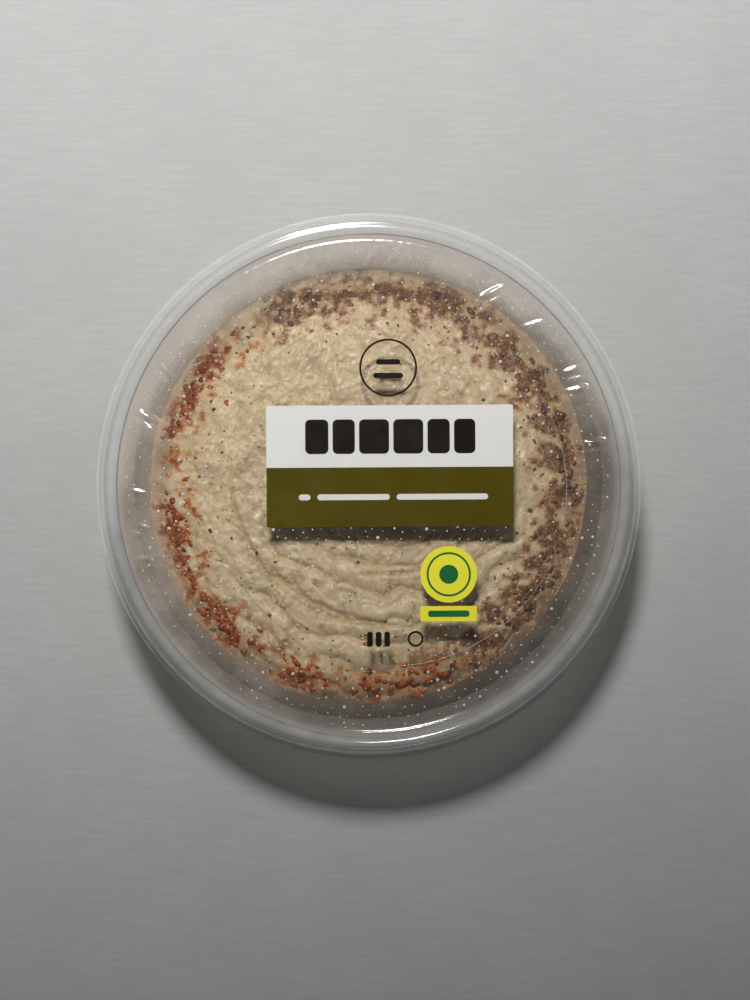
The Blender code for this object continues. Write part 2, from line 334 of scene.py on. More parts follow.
class Graph:
    """Builds the nodes of one material, a socket at a time."""

    def __init__(self, name: str) -> None:
        """Starts an empty material with an output node.

        Args:
            name: Name of the material.
        """
        self.material = bpy.data.materials.new(name)
        self.material.use_nodes = True
        self.tree = self.material.node_tree
        self.tree.nodes.clear()
        self.output = self.node("ShaderNodeOutputMaterial")
        self.place = self.node("ShaderNodeTexCoord").outputs["Object"]

    def node(self, kind: str, **settings: object) -> bpy.types.Node:
        """Adds a node and sets its properties."""
        made = self.tree.nodes.new(kind)
        for key, value in settings.items():
            setattr(made, key, value)
        return made

    def feed(self, socket: bpy.types.NodeSocket, value: Feed) -> None:
        """Links a socket to another, or sets its plain value.

        Args:
            socket: The socket to set.
            value: A socket, number or colour.
        """
        if isinstance(value, bpy.types.NodeSocket):
            self.tree.links.new(value, socket)
        elif isinstance(value, tuple) and len(value) == 3 and socket.type == "RGBA":
            socket.default_value = (*value, 1.0)
        else:
            socket.default_value = value

    def math(self, operation: str, *values: Feed, clamp: bool = False) -> bpy.types.NodeSocket:
        """A Math node's result."""
        made = self.node("ShaderNodeMath", operation=operation, use_clamp=clamp)
        for socket, value in zip(made.inputs, values):
            self.feed(socket, value)
        return made.outputs[0]

    def blend(self, share: Feed, first: Feed, second: Feed) -> bpy.types.NodeSocket:
        """The colour that goes from first at share 0 to second at share 1.

        Args:
            share: How far to go to the second colour.
            first: Colour at share 0.
            second: Colour at share 1.

        Returns:
            The socket of the colour.
        """
        made = self.node("ShaderNodeMix", data_type="RGBA", clamp_factor=True)
        self.feed(made.inputs[0], share)
        self.feed(made.inputs[6], first)
        self.feed(made.inputs[7], second)
        return made.outputs[2]

    def band(self, value: Feed, low: float, high: float, to_low: float = 0.0,
             to_high: float = 1.0) -> bpy.types.NodeSocket:
        """Maps low..high smoothly onto to_low..to_high.

        Args:
            value: A socket, number or colour.
            low: Value at the lower end.
            high: Value at the upper end.
            to_low: Result at the lower end.
            to_high: Result at the upper end.

        Returns:
            The socket of the result.
        """
        made = self.node("ShaderNodeMapRange", interpolation_type="SMOOTHSTEP")
        for socket, number in zip(made.inputs, (value, low, high, to_low, to_high)):
            self.feed(socket, number)
        return made.outputs[0]

    def noise(self, size_mm: float, detail: float = 2.0, roughness: float = 0.5,
              stretch: tuple[float, float, float] = (1.0, 1.0, 1.0)) -> bpy.types.NodeSocket:
        """Noise with features about size_mm across, from 0 to 1.

        Args:
            size_mm: Size of the features, in mm.
            detail: Number of finer layers.
            roughness: Strength of each finer layer.
            stretch: Scale along each axis.

        Returns:
            The socket of the noise.
        """
        mapping = self.node("ShaderNodeMapping")
        self.feed(mapping.inputs["Vector"], self.place)
        mapping.inputs["Scale"].default_value = stretch
        made = self.node("ShaderNodeTexNoise", noise_dimensions="3D")
        self.feed(made.inputs["Vector"], mapping.outputs[0])
        made.inputs["Scale"].default_value = 1.0 / (size_mm * MM)
        made.inputs["Detail"].default_value = detail
        made.inputs["Roughness"].default_value = roughness
        return made.outputs["Fac"]

    def gloss_share(self, base: float, normal: bpy.types.NodeSocket | None = None) -> bpy.types.NodeSocket:
        """The share of light a clear face mirrors: base seen square on, rising to all at grazing.

        Schlick's form, base + (1 - base) * facing^5, the same from either side of the sheet.

        Args:
            base: Share mirrored seen square on.
            normal: A bent normal, or None for the face's own.

        Returns:
            The socket of the share.
        """
        facing = self.node("ShaderNodeLayerWeight")
        facing.inputs["Blend"].default_value = 0.5
        if normal is not None:
            self.feed(facing.inputs["Normal"], normal)
        rise = self.math("POWER", facing.outputs["Facing"], 5.0)
        return self.math("MULTIPLY_ADD", rise, 1.0 - base, base, clamp=True)

    def painted(self, name: str) -> bpy.types.NodeSocket:
        """The piece's own attribute of that name."""
        return self.node("ShaderNodeAttribute", attribute_name=name).outputs["Fac"]

    def bump(self, height: Feed, depth_mm: float, strength: float = 1.0) -> bpy.types.NodeSocket:
        """A normal bent by a height of up to depth_mm."""
        made = self.node("ShaderNodeBump")
        made.inputs["Strength"].default_value = strength
        made.inputs["Distance"].default_value = depth_mm * MM
        self.feed(made.inputs["Height"], height)
        return made.outputs[0]

    def principled(self, **sockets: object) -> bpy.types.Node:
        """A Principled shader wired to the output, its sockets named with underscores."""
        made = self.node("ShaderNodeBsdfPrincipled")
        for key, value in sockets.items():
            self.feed(made.inputs[key.replace("_", " ")], value)
        self.tree.links.new(made.outputs[0], self.output.inputs["Surface"])
        return made


@dataclass(frozen=True)
class ClearSheet:
    """Clear formed plastic: see-through, mirror-bright by Fresnel, milky where it is drawn."""

    name: str
    tint: tuple[float, float, float]
    edge_tint: tuple[float, float, float]
    milk: tuple[float, float, float]
    bent: tuple[float, float, float] = (0.45, 0.45, 0.45)
    mirror: float = 0.04
    roughness: float = 0.09
    ripple: float = 0.02

    def material(self) -> bpy.types.Material:
        """Returns the material: see-through, then a milky veil, then gloss.

        Drawn corners bend light aside, so they let less of a lamp's light straight through.
        """
        graph = Graph(self.name)
        normal = graph.bump(graph.noise(6.0, 1.0), self.ripple)
        facing = graph.node("ShaderNodeLayerWeight")
        facing.inputs["Blend"].default_value = 0.35
        see = graph.node("ShaderNodeBsdfTransparent")
        clear = graph.blend(facing.outputs["Facing"], self.tint, self.edge_tint)
        casting = graph.node("ShaderNodeLightPath").outputs["Is Shadow Ray"]
        shadow = graph.math("MULTIPLY", casting, graph.painted("cast"))
        graph.feed(see.inputs["Color"], graph.blend(shadow, clear, self.bent))
        cloud = graph.node("ShaderNodeBsdfDiffuse")
        graph.feed(cloud.inputs["Color"], self.milk)
        uneven = graph.band(graph.noise(5.0, 3.0, 0.6), 0.3, 0.7, 0.8, 1.2)
        veil = graph.node("ShaderNodeMixShader")
        graph.feed(veil.inputs[0], graph.math("MULTIPLY", graph.painted("veil"), uneven))
        graph.feed(veil.inputs[1], see.outputs[0])
        graph.feed(veil.inputs[2], cloud.outputs[0])
        shine = graph.node("ShaderNodeBsdfGlossy")
        shine.inputs["Roughness"].default_value = self.roughness
        graph.feed(shine.inputs["Normal"], normal)
        mix = graph.node("ShaderNodeMixShader")
        graph.feed(mix.inputs[0], graph.gloss_share(self.mirror, normal))
        graph.feed(mix.inputs[1], veil.outputs[0])
        graph.feed(mix.inputs[2], shine.outputs[0])
        graph.feed(graph.output.inputs["Surface"], mix.outputs[0])
        return graph.material


@dataclass(frozen=True)
class MistedFilm:
    """Clear film with a thin uneven mist below it, denser round the edge and towards the lamp's side."""

    name: str
    mist: tuple[float, float, float]
    edge: tuple[float, float, float]
    clear_share: float = 0.01
    mist_share: float = 0.24
    mirror: float = 0.035

    def material(self) -> bpy.types.Material:
        """Returns the material: a mix of see-through, white mist and Fresnel gloss."""
        graph = Graph(self.name)
        patches = graph.band(graph.noise(9.0, 3.0, 0.55), 0.35, 0.7)
        density = graph.math("MULTIPLY", graph.painted("mist"), graph.band(patches, 0.0, 1.0, 0.7, 1.1))
        share = graph.band(density, 0.0, 1.0, self.clear_share, self.mist_share)
        see = graph.node("ShaderNodeBsdfTransparent")
        haze = graph.node("ShaderNodeBsdfDiffuse")
        graph.feed(haze.inputs["Color"], graph.blend(graph.painted("edge"), self.mist, self.edge))
        veil = graph.node("ShaderNodeMixShader")
        line = graph.math("MULTIPLY_ADD", graph.painted("edge"), 0.3, share, clamp=True)
        graph.feed(veil.inputs[0], line)
        graph.feed(veil.inputs[1], see.outputs[0])
        graph.feed(veil.inputs[2], haze.outputs[0])
        shine = graph.node("ShaderNodeBsdfGlossy")
        shine.inputs["Roughness"].default_value = 0.12
        mix = graph.node("ShaderNodeMixShader")
        graph.feed(mix.inputs[0], graph.gloss_share(self.mirror))
        graph.feed(mix.inputs[1], veil.outputs[0])
        graph.feed(mix.inputs[2], shine.outputs[0])
        graph.feed(graph.output.inputs["Surface"], mix.outputs[0])
        return graph.material


@dataclass(frozen=True)
class Stain:
    """The colours one relish gives the paste: where it is thin, full and clotted."""

    thin: tuple[float, float, float]
    full: tuple[float, float, float]
    clot: tuple[float, float, float]


@dataclass(frozen=True)
class MoistPaste:
    """Hummus: pale cream crests, furrows painted darker as shade, grey patches, an edge painted dark brown
    away from the lamp as oil stain and shade, and oily relish stains.
    """

    name: str
    crest: tuple[float, float, float]
    shaded_furrow: tuple[float, float, float]
    grey: tuple[float, float, float]
    rim: tuple[float, float, float]
    olive: Stain
    tomato: Stain

    def soak(self, graph: Graph, colour: bpy.types.NodeSocket, kind: str,
             stain: Stain) -> bpy.types.NodeSocket:
        """Lets one relish into the paste: a thin tint first, then its full colour, then clots.

        Args:
            graph: The material's node builder.
            colour: The colour before the relish is let in.
            kind: The painted attribute of the relish.
            stain: The colours of the relish.

        Returns:
            The socket of the stained colour.
        """
        mottle = graph.math("ADD", graph.noise(1.3, 3.0, 0.65), graph.noise(0.45, 2.0, 0.6))
        level = graph.math("MULTIPLY", graph.painted(kind), graph.band(mottle, 0.75, 1.25, 0.72, 1.2))
        colour = graph.blend(graph.band(level, 0.05, 0.45, 0.0, 0.85), colour, stain.thin)
        colour = graph.blend(graph.band(level, 0.35, 0.8, 0.0, 0.9), colour, stain.full)
        return graph.blend(graph.band(level, 0.75, 1.1, 0.0, 0.9), colour, stain.clot)

    def material(self) -> bpy.types.Material:
        """Returns the material, its colour led by the mound's painted attributes."""
        graph = Graph(self.name)
        fine = graph.noise(0.7, 3.0, 0.6)
        broad = graph.noise(7.0, 2.0)
        relief = graph.math("ADD", graph.painted("crest"), graph.band(fine, 0.3, 0.7, -0.2, 0.2))
        # Painted shade: the colour darkens from the cream towards the furrow colour where the relief is low,
        # in furrows and creases.
        colour = graph.blend(relief, self.shaded_furrow, self.crest)
        patch = graph.math("MULTIPLY", graph.painted("grey"), graph.band(broad, 0.35, 0.65, 0.5, 1.0))
        colour = graph.blend(patch, colour, self.grey)
        # Painted shade, partly oil stain: the paste turns dark brown towards the wall on the side away from
        # the lamp.
        colour = graph.blend(graph.painted("edge_stain_and_shade"), colour, self.rim)
        colour = self.soak(graph, colour, "olive", self.olive)
        colour = self.soak(graph, colour, "tomato", self.tomato)
        oil = graph.band(graph.noise(3.0, 2.0), 0.35, 0.7, 0.36, 0.6)
        graph.principled(Base_Color=colour, Roughness=oil, Specular_IOR_Level=0.4,
                         Subsurface_Weight=0.12, Subsurface_Scale=2.0 * MM,
                         Normal=graph.bump(fine, 0.06, 0.5))
        return graph.material


@dataclass(frozen=True)
class ThinSmear:
    """A see-through smear of paste: thick enough to hide the wall at the mound, gone above. It is painted
    paler towards the lamp and darker away from it, as light and shade.
    """

    name: str
    colour: tuple[float, float, float]
    pale: tuple[float, float, float]

    def material(self) -> bpy.types.Material:
        """Returns the material, its cover led by the smear's painted attribute."""
        graph = Graph(self.name)
        uneven = graph.band(graph.noise(2.5, 3.0), 0.3, 0.7, 0.75, 1.0)
        cover = graph.math("MULTIPLY", graph.painted("smear"), uneven)
        # Painted light and shade: pale on the side towards the lamp, dark away from it.
        tone = graph.blend(graph.painted("lit"), self.colour, self.pale)
        graph.principled(Base_Color=tone, Roughness=0.5, Alpha=cover)
        return graph.material


@dataclass(frozen=True)
class OilyBit:
    """Chopped relish: two tones by bit, mottled within, with a soft oily sheen."""

    name: str
    light: tuple[float, float, float]
    dark: tuple[float, float, float]
    roughness: float = 0.35

    def material(self) -> bpy.types.Material:
        """Returns the material, its tone led by each bit's own number."""
        graph = Graph(self.name)
        flesh = graph.band(graph.noise(0.9, 3.0, 0.6), 0.3, 0.7, -0.3, 0.3)
        tone = graph.math("ADD", graph.painted("tone"), flesh, clamp=True)
        sheen = graph.band(graph.noise(1.2, 1.0), 0.3, 0.7, self.roughness - 0.08, self.roughness + 0.2)
        graph.principled(Base_Color=graph.blend(tone, self.dark, self.light), Roughness=sheen,
                         Subsurface_Weight=0.08, Subsurface_Scale=1.0 * MM,
                         Normal=graph.bump(graph.noise(0.5, 2.0), 0.05, 0.6))
        return graph.material


@dataclass(frozen=True)
class Ink:
    """Opaque printing ink: an even colour with a faint screen of tone and a satin gloss."""

    name: str
    colour: tuple[float, float, float]
    worn: tuple[float, float, float]
    roughness: float = 0.14

    def material(self) -> bpy.types.Material:
        """Returns the material."""
        graph = Graph(self.name)
        tone = graph.band(graph.noise(12.0, 2.0), 0.4, 0.75, 0.0, 0.5)
        satin = graph.band(graph.noise(4.0, 2.0), 0.3, 0.7, self.roughness, self.roughness + 0.05)
        graph.principled(Base_Color=graph.blend(tone, self.colour, self.worn), Roughness=satin)
        return graph.material


@dataclass(frozen=True)
class WaterBead:
    """A small bead of condensed water, painted near white so that it shows as a bright point: a painted
    highlight.
    """

    name: str
    painted_glint: tuple[float, float, float]
    alpha: float = 0.9

    def material(self) -> bpy.types.Material:
        """Returns the material."""
        graph = Graph(self.name)
        # Painted highlight: a near-white diffuse colour in place of the glint that clear water would show.
        tone = graph.blend(graph.noise(2.0, 1.0), self.painted_glint, (1.0, 1.0, 1.0))
        graph.principled(Base_Color=tone, Roughness=0.12, Alpha=self.alpha)
        return graph.material


@dataclass(frozen=True)
class Worktop:
    """The plain pale floor under the tub."""

    name: str
    colour: tuple[float, float, float]

    def material(self) -> bpy.types.Material:
        """Returns the material: matt, with a barely visible unevenness of tone."""
        graph = Graph(self.name)
        low = tuple(0.86 * value for value in self.colour)
        grain = graph.noise(0.9, 3.0, 0.65, (0.09, 1.0, 1.0))
        tone = graph.blend(graph.math("ADD", graph.band(grain, 0.3, 0.7, 0.0, 0.6), graph.noise(30.0, 3.0)),
                           self.colour, low)
        graph.principled(Base_Color=tone, Roughness=0.6)
        return graph.material


# ------------------------------------------------------------------ the tub and the lid

def corner(node: str, high: bool) -> Vector:
    """A CAD node's highest or lowest corner, in millimetres."""
    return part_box(node)[1 if high else 0] / MM


@dataclass
class Tub:
    """The clear formed tub: push-up base, foot, drafted wall and flat flange."""

    wall: float = 0.7
    draft: float = math.radians(18.0)
    lip: float = 4.6
    foot_corner: float = 3.9
    mouth_corner: float = 1.0
    push_up_radius: float = 30.0
    push_up_height: float = 1.2
    segments: int = 288
    flange_radius: float = field(init=False)
    flange_top: float = field(init=False)
    mouth_radius: float = field(init=False)

    def __post_init__(self) -> None:
        """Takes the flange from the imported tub."""
        top = corner("tub", True)
        self.flange_radius, self.flange_top = top.x, top.z
        self.mouth_radius = self.flange_radius - self.lip

    def inner_radius(self, height: np.ndarray) -> np.ndarray:
        """The inner wall's radius: the mouth's less the depth times the draft's tangent."""
        return self.mouth_radius - (self.flange_top - height) * math.tan(self.draft)

    def midline(self, facet: float = 0.3) -> np.ndarray:
        """The middle of the sheet, from the base's centre to the flange's edge.

        Args:
            facet: Longest side of a facet in a bend, in mm.

        Returns:
            The points of the midline.
        """
        half = 0.5 * self.wall
        outset = half / math.cos(self.draft)
        raised = self.push_up_height + half
        return rounded_path([
            (0.0, raised),
            (self.push_up_radius, raised, 1.5),
            (self.push_up_radius + 2.0, half, 1.5),
            (self.inner_radius(half) + outset, half, self.foot_corner),
            (self.inner_radius(self.flange_top - half) + outset, self.flange_top - half,
             self.mouth_corner),
            (self.flange_radius - half, self.flange_top - half),
        ], facet)

    def build(self, finish: bpy.types.Material) -> bpy.types.Object:
        """Turns the sheet's section into the tub.

        Args:
            finish: The finish that it takes.

        Returns:
            The new piece.
        """
        points, faces = turned(sheet_section(self.midline(), self.wall), self.segments)
        piece = add_piece("tub_shell", points, faces, finish, ("tub",))
        radius = np.hypot(points[:, 0], points[:, 1])
        drawn = smooth_step(radius, self.mouth_radius - 1.0, self.mouth_radius)
        paint(piece, "veil", 0.04 + 0.1 * drawn)
        paint(piece, "cast", 0.1 + 0.75 * drawn)
        return piece


@dataclass
class Lid:
    """The clear press-on lid: sunk panel, stacking bead, shoulder, skirt and turned-out lip."""

    wall: float = 0.4
    bead_rise: float = 2.2
    crown: float = 0.1
    shoulder_drop: float = 0.75
    shoulder_step: float = 0.25
    skirt_drop: float = 5.5
    lip_drop: float = 5.8
    segments: int = 384
    lip_radius: float = field(init=False)
    panel: float = field(init=False)

    def __post_init__(self) -> None:
        """Takes the lip's radius and the panel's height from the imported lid."""
        top = corner("lid", True)
        self.lip_radius = top.x
        self.panel = top.z - 0.5 * self.wall - self.bead_rise

    def midline(self) -> np.ndarray:
        """The middle of the sheet: each corner lies a set distance inside the lip."""
        out, level = self.lip_radius, self.panel
        return rounded_path([
            (0.0, level),
            (out - 6.55, level, 0.9),
            (out - 4.45, level + self.bead_rise - self.crown, 0.5),
            (out - 3.95, level + self.bead_rise, 1.2),
            (out - 3.45, level + self.bead_rise - self.crown, 0.4),
            (out - 2.25, level - self.shoulder_drop + self.shoulder_step, 0.3),
            (out - 1.6, level - self.shoulder_drop, 0.4),
            (out - 1.05, level - self.skirt_drop, 0.4),
            (out - 0.5 * self.wall, level - self.lip_drop),
        ], 0.1)

    def build(self, finish: bpy.types.Material) -> bpy.types.Object:
        """Turns the sheet's section into the lid.

        Args:
            finish: The finish that it takes.

        Returns:
            The new piece.
        """
        points, faces = turned(sheet_section(self.midline(), self.wall), self.segments)
        piece = add_piece("lid_shell", points, faces, finish, ("lid",))
        radius = np.hypot(points[:, 0], points[:, 1])
        panel = self.lip_radius - 6.55
        skirt = smooth_step(radius, self.lip_radius - 2.4, self.lip_radius - 1.2)
        paint(piece, "veil", 0.11 * smooth_step(radius, panel - 0.2, panel + 1.4) + 0.07 * skirt)
        paint(piece, "cast", 0.12 * smooth_step(radius, panel - 0.2, panel + 1.4) + 0.88 * skirt)
        return piece


@dataclass
class LidCrease:
    """A faint round crease pressed into the lid's panel: thin raised arcs of one circle."""

    lid: Lid
    centre: tuple[float, float] = (4.9, -1.0)
    radius: float = 38.8
    half_width: float = 0.09
    rise: float = 0.05
    arcs: tuple = ((-12.0, 48.0), (262.0, 74.0), (206.0, 30.0), (112.0, 22.0))

    def build(self, finish: bpy.types.Material) -> bpy.types.Object:
        """Builds each arc as a low three-sided rib on the panel, tapering to both ends.

        Args:
            finish: The finish that it takes.

        Returns:
            The new piece.
        """
        points, faces, start = [], [], 0
        level = self.lid.panel + 0.5 * self.lid.wall - 0.01
        for first, sweep in self.arcs:
            count = int(sweep * 2)
            share = np.linspace(0.0, 1.0, count)
            angle = np.radians(first + sweep * share)
            taper = np.sin(np.pi * np.clip(share, 0.004, 0.996)) ** 0.5
            rows = []
            for side, up in ((-1.0, 0.0), (1.0, 0.0), (0.0, 1.0)):
                r = self.radius + side * self.half_width * taper
                rows.append(np.column_stack((self.centre[0] + r * np.cos(angle),
                                             self.centre[1] + r * np.sin(angle),
                                             level + up * self.rise * taper)))
            points.append(np.stack(rows, 1).reshape(-1, 3))
            faces.append(ring_faces(count, 3, start)[:, ::-1])
            faces.append(np.array(((start, start + 1, start + 2),)))
            end = start + 3 * (count - 1)
            faces.append(np.array(((end + 2, end + 1, end),)))
            start += 3 * count
        points = np.vstack(points)
        piece = add_piece("lid_crease", points, faces, finish)
        paint(piece, "veil", np.full(len(points), 0.3))
        paint(piece, "cast", np.zeros(len(points)))
        return piece


@dataclass
class SealFilm:
    """The sealing film: nearly flat, with radial puckers where it meets the flange."""

    thickness: float = 0.08
    segments: int = 720
    pucker_depth: float = 0.26
    ridge_inset: float = 1.75
    mist_from: float = 43.0
    mist_to: float = 50.5
    mist_lamp_side: float = 125.0
    mist_least: float = 0.3
    puckers: tuple = ((163.0, 1.5), (151.0, 0.8), (133.0, 1.0), (119.0, 0.7), (106.0, 0.9),
                      (84.0, 0.5), (58.0, 0.5), (25.0, 0.9), (11.0, 0.8), (-3.0, 0.6),
                      (-22.0, 0.5), (182.0, 0.6), (205.0, 0.5), (240.0, 0.4), (300.0, 0.4))
    radius: float = field(init=False)
    top: float = field(init=False)

    def __post_init__(self) -> None:
        """Takes the film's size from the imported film."""
        low, high = corner("seal_film", False), corner("seal_film", True)
        self.radius = high.x
        self.top = 0.5 * (low.z + high.z) + 0.5 * self.thickness

    def relief(self, r: np.ndarray, angle: np.ndarray) -> np.ndarray:
        """The film's rise and fall.

        Each pucker is a short radial ridge: a bell across it times a bell along the radius,
        with a few ripples. All round the weld there is a fine, uneven radial wave.

        Args:
            r: Distances from the axis, in mm.
            angle: Angles round the axis, in radians.

        Returns:
            The height added at each place, in mm.
        """
        x, y = r * np.cos(angle), r * np.sin(angle)
        edge = smooth_step(r, self.radius - 10.0, self.radius - 2.5)
        weld = 1.0 - smooth_step(r, self.radius - 1.6, self.radius - 0.4)
        wave = np.sin(64.0 * angle + 2.2 * PlaneNoise(11, 9.0)(x, y))
        rise = 0.012 * PlaneNoise(12, 14.0)(x, y) + 0.02 * edge * wave
        draw = np.random.default_rng(13)
        small = [(float(draw.uniform(0.0, 360.0)), float(draw.uniform(0.25, 0.7))) for _ in range(34)]
        for degrees, strength in (*self.puckers, *small):
            across = angle_apart(angle, math.radians(degrees)) * r
            slant = across + 0.25 * (r - 50.0) * math.sin(degrees)
            bell = np.exp(-(slant / 1.5) ** 2) * np.exp(-((r - self.radius + 4.6) / 2.6) ** 2)
            rise += self.pucker_depth * strength * bell * np.cos(slant * 2.4 + 0.9 * (r - 50.0))
        rise *= 1.0 - 0.6 * smooth_step(r, self.radius - 2.6, self.radius - 1.9)
        rise += 0.07 * np.exp(-((r - self.radius + self.ridge_inset) / 0.34) ** 2)
        return rise * weld

    def build(self, finish: bpy.types.Material) -> bpy.types.Object:
        """Builds both faces of the film on rings of growing radius, closed round the rim.

        Args:
            finish: The finish that it takes.

        Returns:
            The new piece.
        """
        spans = ((0.0, 44.0, 8), (44.0, 51.5, 24), (51.5, self.radius, 30))
        radii = np.concatenate([np.linspace(a, b, n + 1)[1:] for a, b, n in spans])
        angles = np.arange(self.segments) * TURN / self.segments
        r, angle = np.meshgrid(radii, angles, indexing="ij")
        rise = self.relief(r, angle)
        plan = np.stack((r * np.cos(angle), r * np.sin(angle)), -1)
        low = np.concatenate((plan, (self.top - self.thickness + rise)[..., None]), -1)
        high = np.concatenate((plan, (self.top + rise)[..., None]), -1)[::-1]
        poles = np.array(((0.0, 0.0, self.top - self.thickness), (0.0, 0.0, self.top)))
        points = np.vstack((low.reshape(-1, 3), high.reshape(-1, 3), poles))
        rows = 2 * len(radii)
        pole = rows * self.segments
        faces = [ring_faces(rows, self.segments), fan_faces(pole, 0, self.segments, True),
                 fan_faces(pole + 1, pole - self.segments, self.segments, False)]
        piece = add_piece("film_sheet", points, faces, finish, ("seal_film",))
        radius, angle = np.hypot(points[:, 0], points[:, 1]), np.arctan2(points[:, 1], points[:, 0])
        # The mist is denser towards the lamp's side, which lightens the ring there: partly uneven fog, partly
        # painted light.
        side = 0.5 + 0.5 * np.cos(angle - math.radians(self.mist_lamp_side))
        share = self.mist_least + (1.0 - self.mist_least) * side
        paint(piece, "mist", smooth_step(radius, self.mist_from, self.mist_to) * share)
        paint(piece, "edge", smooth_step(radius, self.radius - 0.45, self.radius - 0.2))
        return piece


# ------------------------------------------------------------------ the contents

class Bit(Enum):
    """The kinds of small things in the hummus, and the names of their pieces."""

    OLIVE = "olive_bits"
    TOMATO = "tomato_bits"
    HERB = "herb_specks"
    GRAIN = "chickpea_grains"


@dataclass(frozen=True)
class Clump:
    """Where one cluster of relish lies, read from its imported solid."""

    kind: Bit
    angle: float
    radius: float
    length: float
    width: float

    @staticmethod
    def read(node: str) -> "Clump":
        """Measures a clump's solid.

        The middle is the middle of its box. Its length is the box's extent along the ring there
        and its width the extent across it, each less what the other adds by its slant.

        Args:
            node: Name of the CAD node.

        Returns:
            The clump that the node holds.
        """
        low, high = corner(node, False), corner(node, True)
        middle, size = (low + high) / 2.0, high - low
        angle = math.atan2(middle.y, middle.x)
        c, s = abs(math.cos(angle)), abs(math.sin(angle))
        length = min(math.hypot(size.x, size.y), size.x * s + size.y * c)
        kind = Bit.OLIVE if "olive" in node else Bit.TOMATO
        return Clump(kind, angle, math.hypot(middle.x, middle.y) + 0.5, length, 7.0)


@dataclass
class Mound:
    """The hummus: a flat-crowned mound with spoon strokes, folds, furrows and grainy lumps."""

    tub: Tub
    clumps: list
    grid: int = 286
    power: float = 4.5
    bite: float = 0.15
    edge_wave: float = 0.5
    stroke_centre: tuple[float, float] = (4.0, 9.0)
    stroke_pitch: float = 5.6
    bands: dict = field(default_factory=lambda: {
        Bit.OLIVE: (22.0, 106.0, 0.84), Bit.TOMATO: (212.0, 92.0, 0.4)})
    crown: float = field(init=False)
    edge: float = field(init=False)
    floor: float = field(init=False)

    def __post_init__(self) -> None:
        """Takes the mound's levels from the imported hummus."""
        low, high = corner("hummus", False), corner("hummus", True)
        self.floor = low.z
        self.crown = high.z - 0.2
        self.edge = high.z - 8.1

    def edge_height(self, angle: np.ndarray) -> np.ndarray:
        """The height of the line where the mound meets the wall, by angle."""
        wave = np.sin(2.0 * angle + 0.6) + 0.5 * np.sin(5.0 * angle - 1.1)
        ragged = PlaneNoise(21, 5.0, 2)(49.0 * np.cos(angle), 49.0 * np.sin(angle))
        return self.edge + self.edge_wave * wave + 0.55 * ragged

    def grain_mask(self, x: np.ndarray, y: np.ndarray) -> np.ndarray:
        """Where the paste is grainy: the left, and ragged patches elsewhere."""
        side = smooth_step(-x + 0.15 * y + 7.0 * PlaneNoise(31, 16.0, 2)(x, y), -4.0, 14.0)
        patches = smooth_step(PlaneNoise(32, 11.0, 2)(x, y), 0.05, 0.5)
        return np.clip(0.25 + 0.75 * side + 0.5 * patches, 0.0, 1.0)

    def stroke_mask(self, x: np.ndarray, y: np.ndarray) -> np.ndarray:
        """Where the spoon has left its strokes: the lower half, fading out above."""
        return 0.1 + 0.9 * smooth_step(-y + 4.0 * PlaneNoise(33, 14.0)(x, y), 9.0, 17.0)

    def strokes(self, x: np.ndarray, y: np.ndarray) -> np.ndarray:
        """Round-topped strokes with sharp creases between them, 0 in a crease and 1 on a top.

        The distance from the stroke centre, bent by two sizes of noise, runs through the root
        of a sine's absolute value, which is round above and sharp below.

        Args:
            x: Places to the right of the axis, in mm.
            y: Places towards the top of the print, in mm.

        Returns:
            The height of the strokes, in mm.
        """
        away = np.hypot(x - self.stroke_centre[0], y - self.stroke_centre[1])
        bent = away + 2.6 * PlaneNoise(34, 13.0)(x, y) + 1.1 * PlaneNoise(35, 4.5, 2)(x, y)
        return np.abs(np.sin(np.pi * bent / self.stroke_pitch)) ** 0.6

    def folds(self, x: np.ndarray, y: np.ndarray) -> np.ndarray:
        """Small folds: noise stretched along the strokes and creased where it crosses zero."""
        angle = np.arctan2(y - self.stroke_centre[1], x - self.stroke_centre[0])
        away = np.hypot(x - self.stroke_centre[0], y - self.stroke_centre[1])
        warp = 1.2 * PlaneNoise(36, 5.0)(x, y)
        creased = np.abs(PlaneNoise(37, 3.6, 2)(angle * 14.0 + 60.0 + 2.0 * warp, away + 2.0 * warp))
        return np.clip(creased * 1.6, 0.0, 1.0) ** 0.7

    def lumps(self, x: np.ndarray, y: np.ndarray) -> np.ndarray:
        """Grainy lumps of three sizes, each a low round cap on a scattered seed.

        Args:
            x: Places to the right of the axis, in mm.
            y: Places towards the top of the print, in mm.

        Returns:
            The height of the lumps, in mm.
        """
        bent_x = x + 0.35 * PlaneNoise(38, 1.7)(x, y)
        bent_y = y + 0.35 * PlaneNoise(39, 1.7)(x, y)
        total = np.zeros(np.shape(x))
        for seed, cell, share in ((41, 2.6, 0.5), (42, 1.5, 0.38), (43, 0.95, 0.22)):
            away, number = CellNoise(seed, cell).nearest(bent_x, bent_y)
            total += share * np.clip(1.0 - (away / 0.62) ** 2, 0.0, 1.0) * (0.3 + number)
        return total

    def furrows(self, x: np.ndarray, y: np.ndarray) -> np.ndarray:
        """Three thin curved furrows cut by the spoon's edge, 1 at their lines.

        Args:
            x: Places to the right of the axis, in mm.
            y: Places towards the top of the print, in mm.

        Returns:
            The height of the furrows, in mm.
        """
        total = np.zeros(np.shape(x))
        arcs = ((6.0, 4.0, 37.0, 205.0, 34.0), (4.0, 4.0, 34.0, 238.0, 26.0),
                (9.0, 2.0, 33.5, 262.0, 16.0), (2.0, 10.0, 30.0, 285.0, 30.0))
        for cx, cy, radius, middle, half in arcs:
            away = np.hypot(x - cx, y - cy) - radius - 0.5 * PlaneNoise(44, 6.0)(x, y)
            turn = angle_apart(np.arctan2(y - cy, x - cx), math.radians(middle))
            reach = 1.0 - smooth_step(np.abs(turn), math.radians(0.4 * half), math.radians(half))
            total += reach * np.exp(-(away / 0.42) ** 2)
        return np.clip(total, 0.0, 1.0)

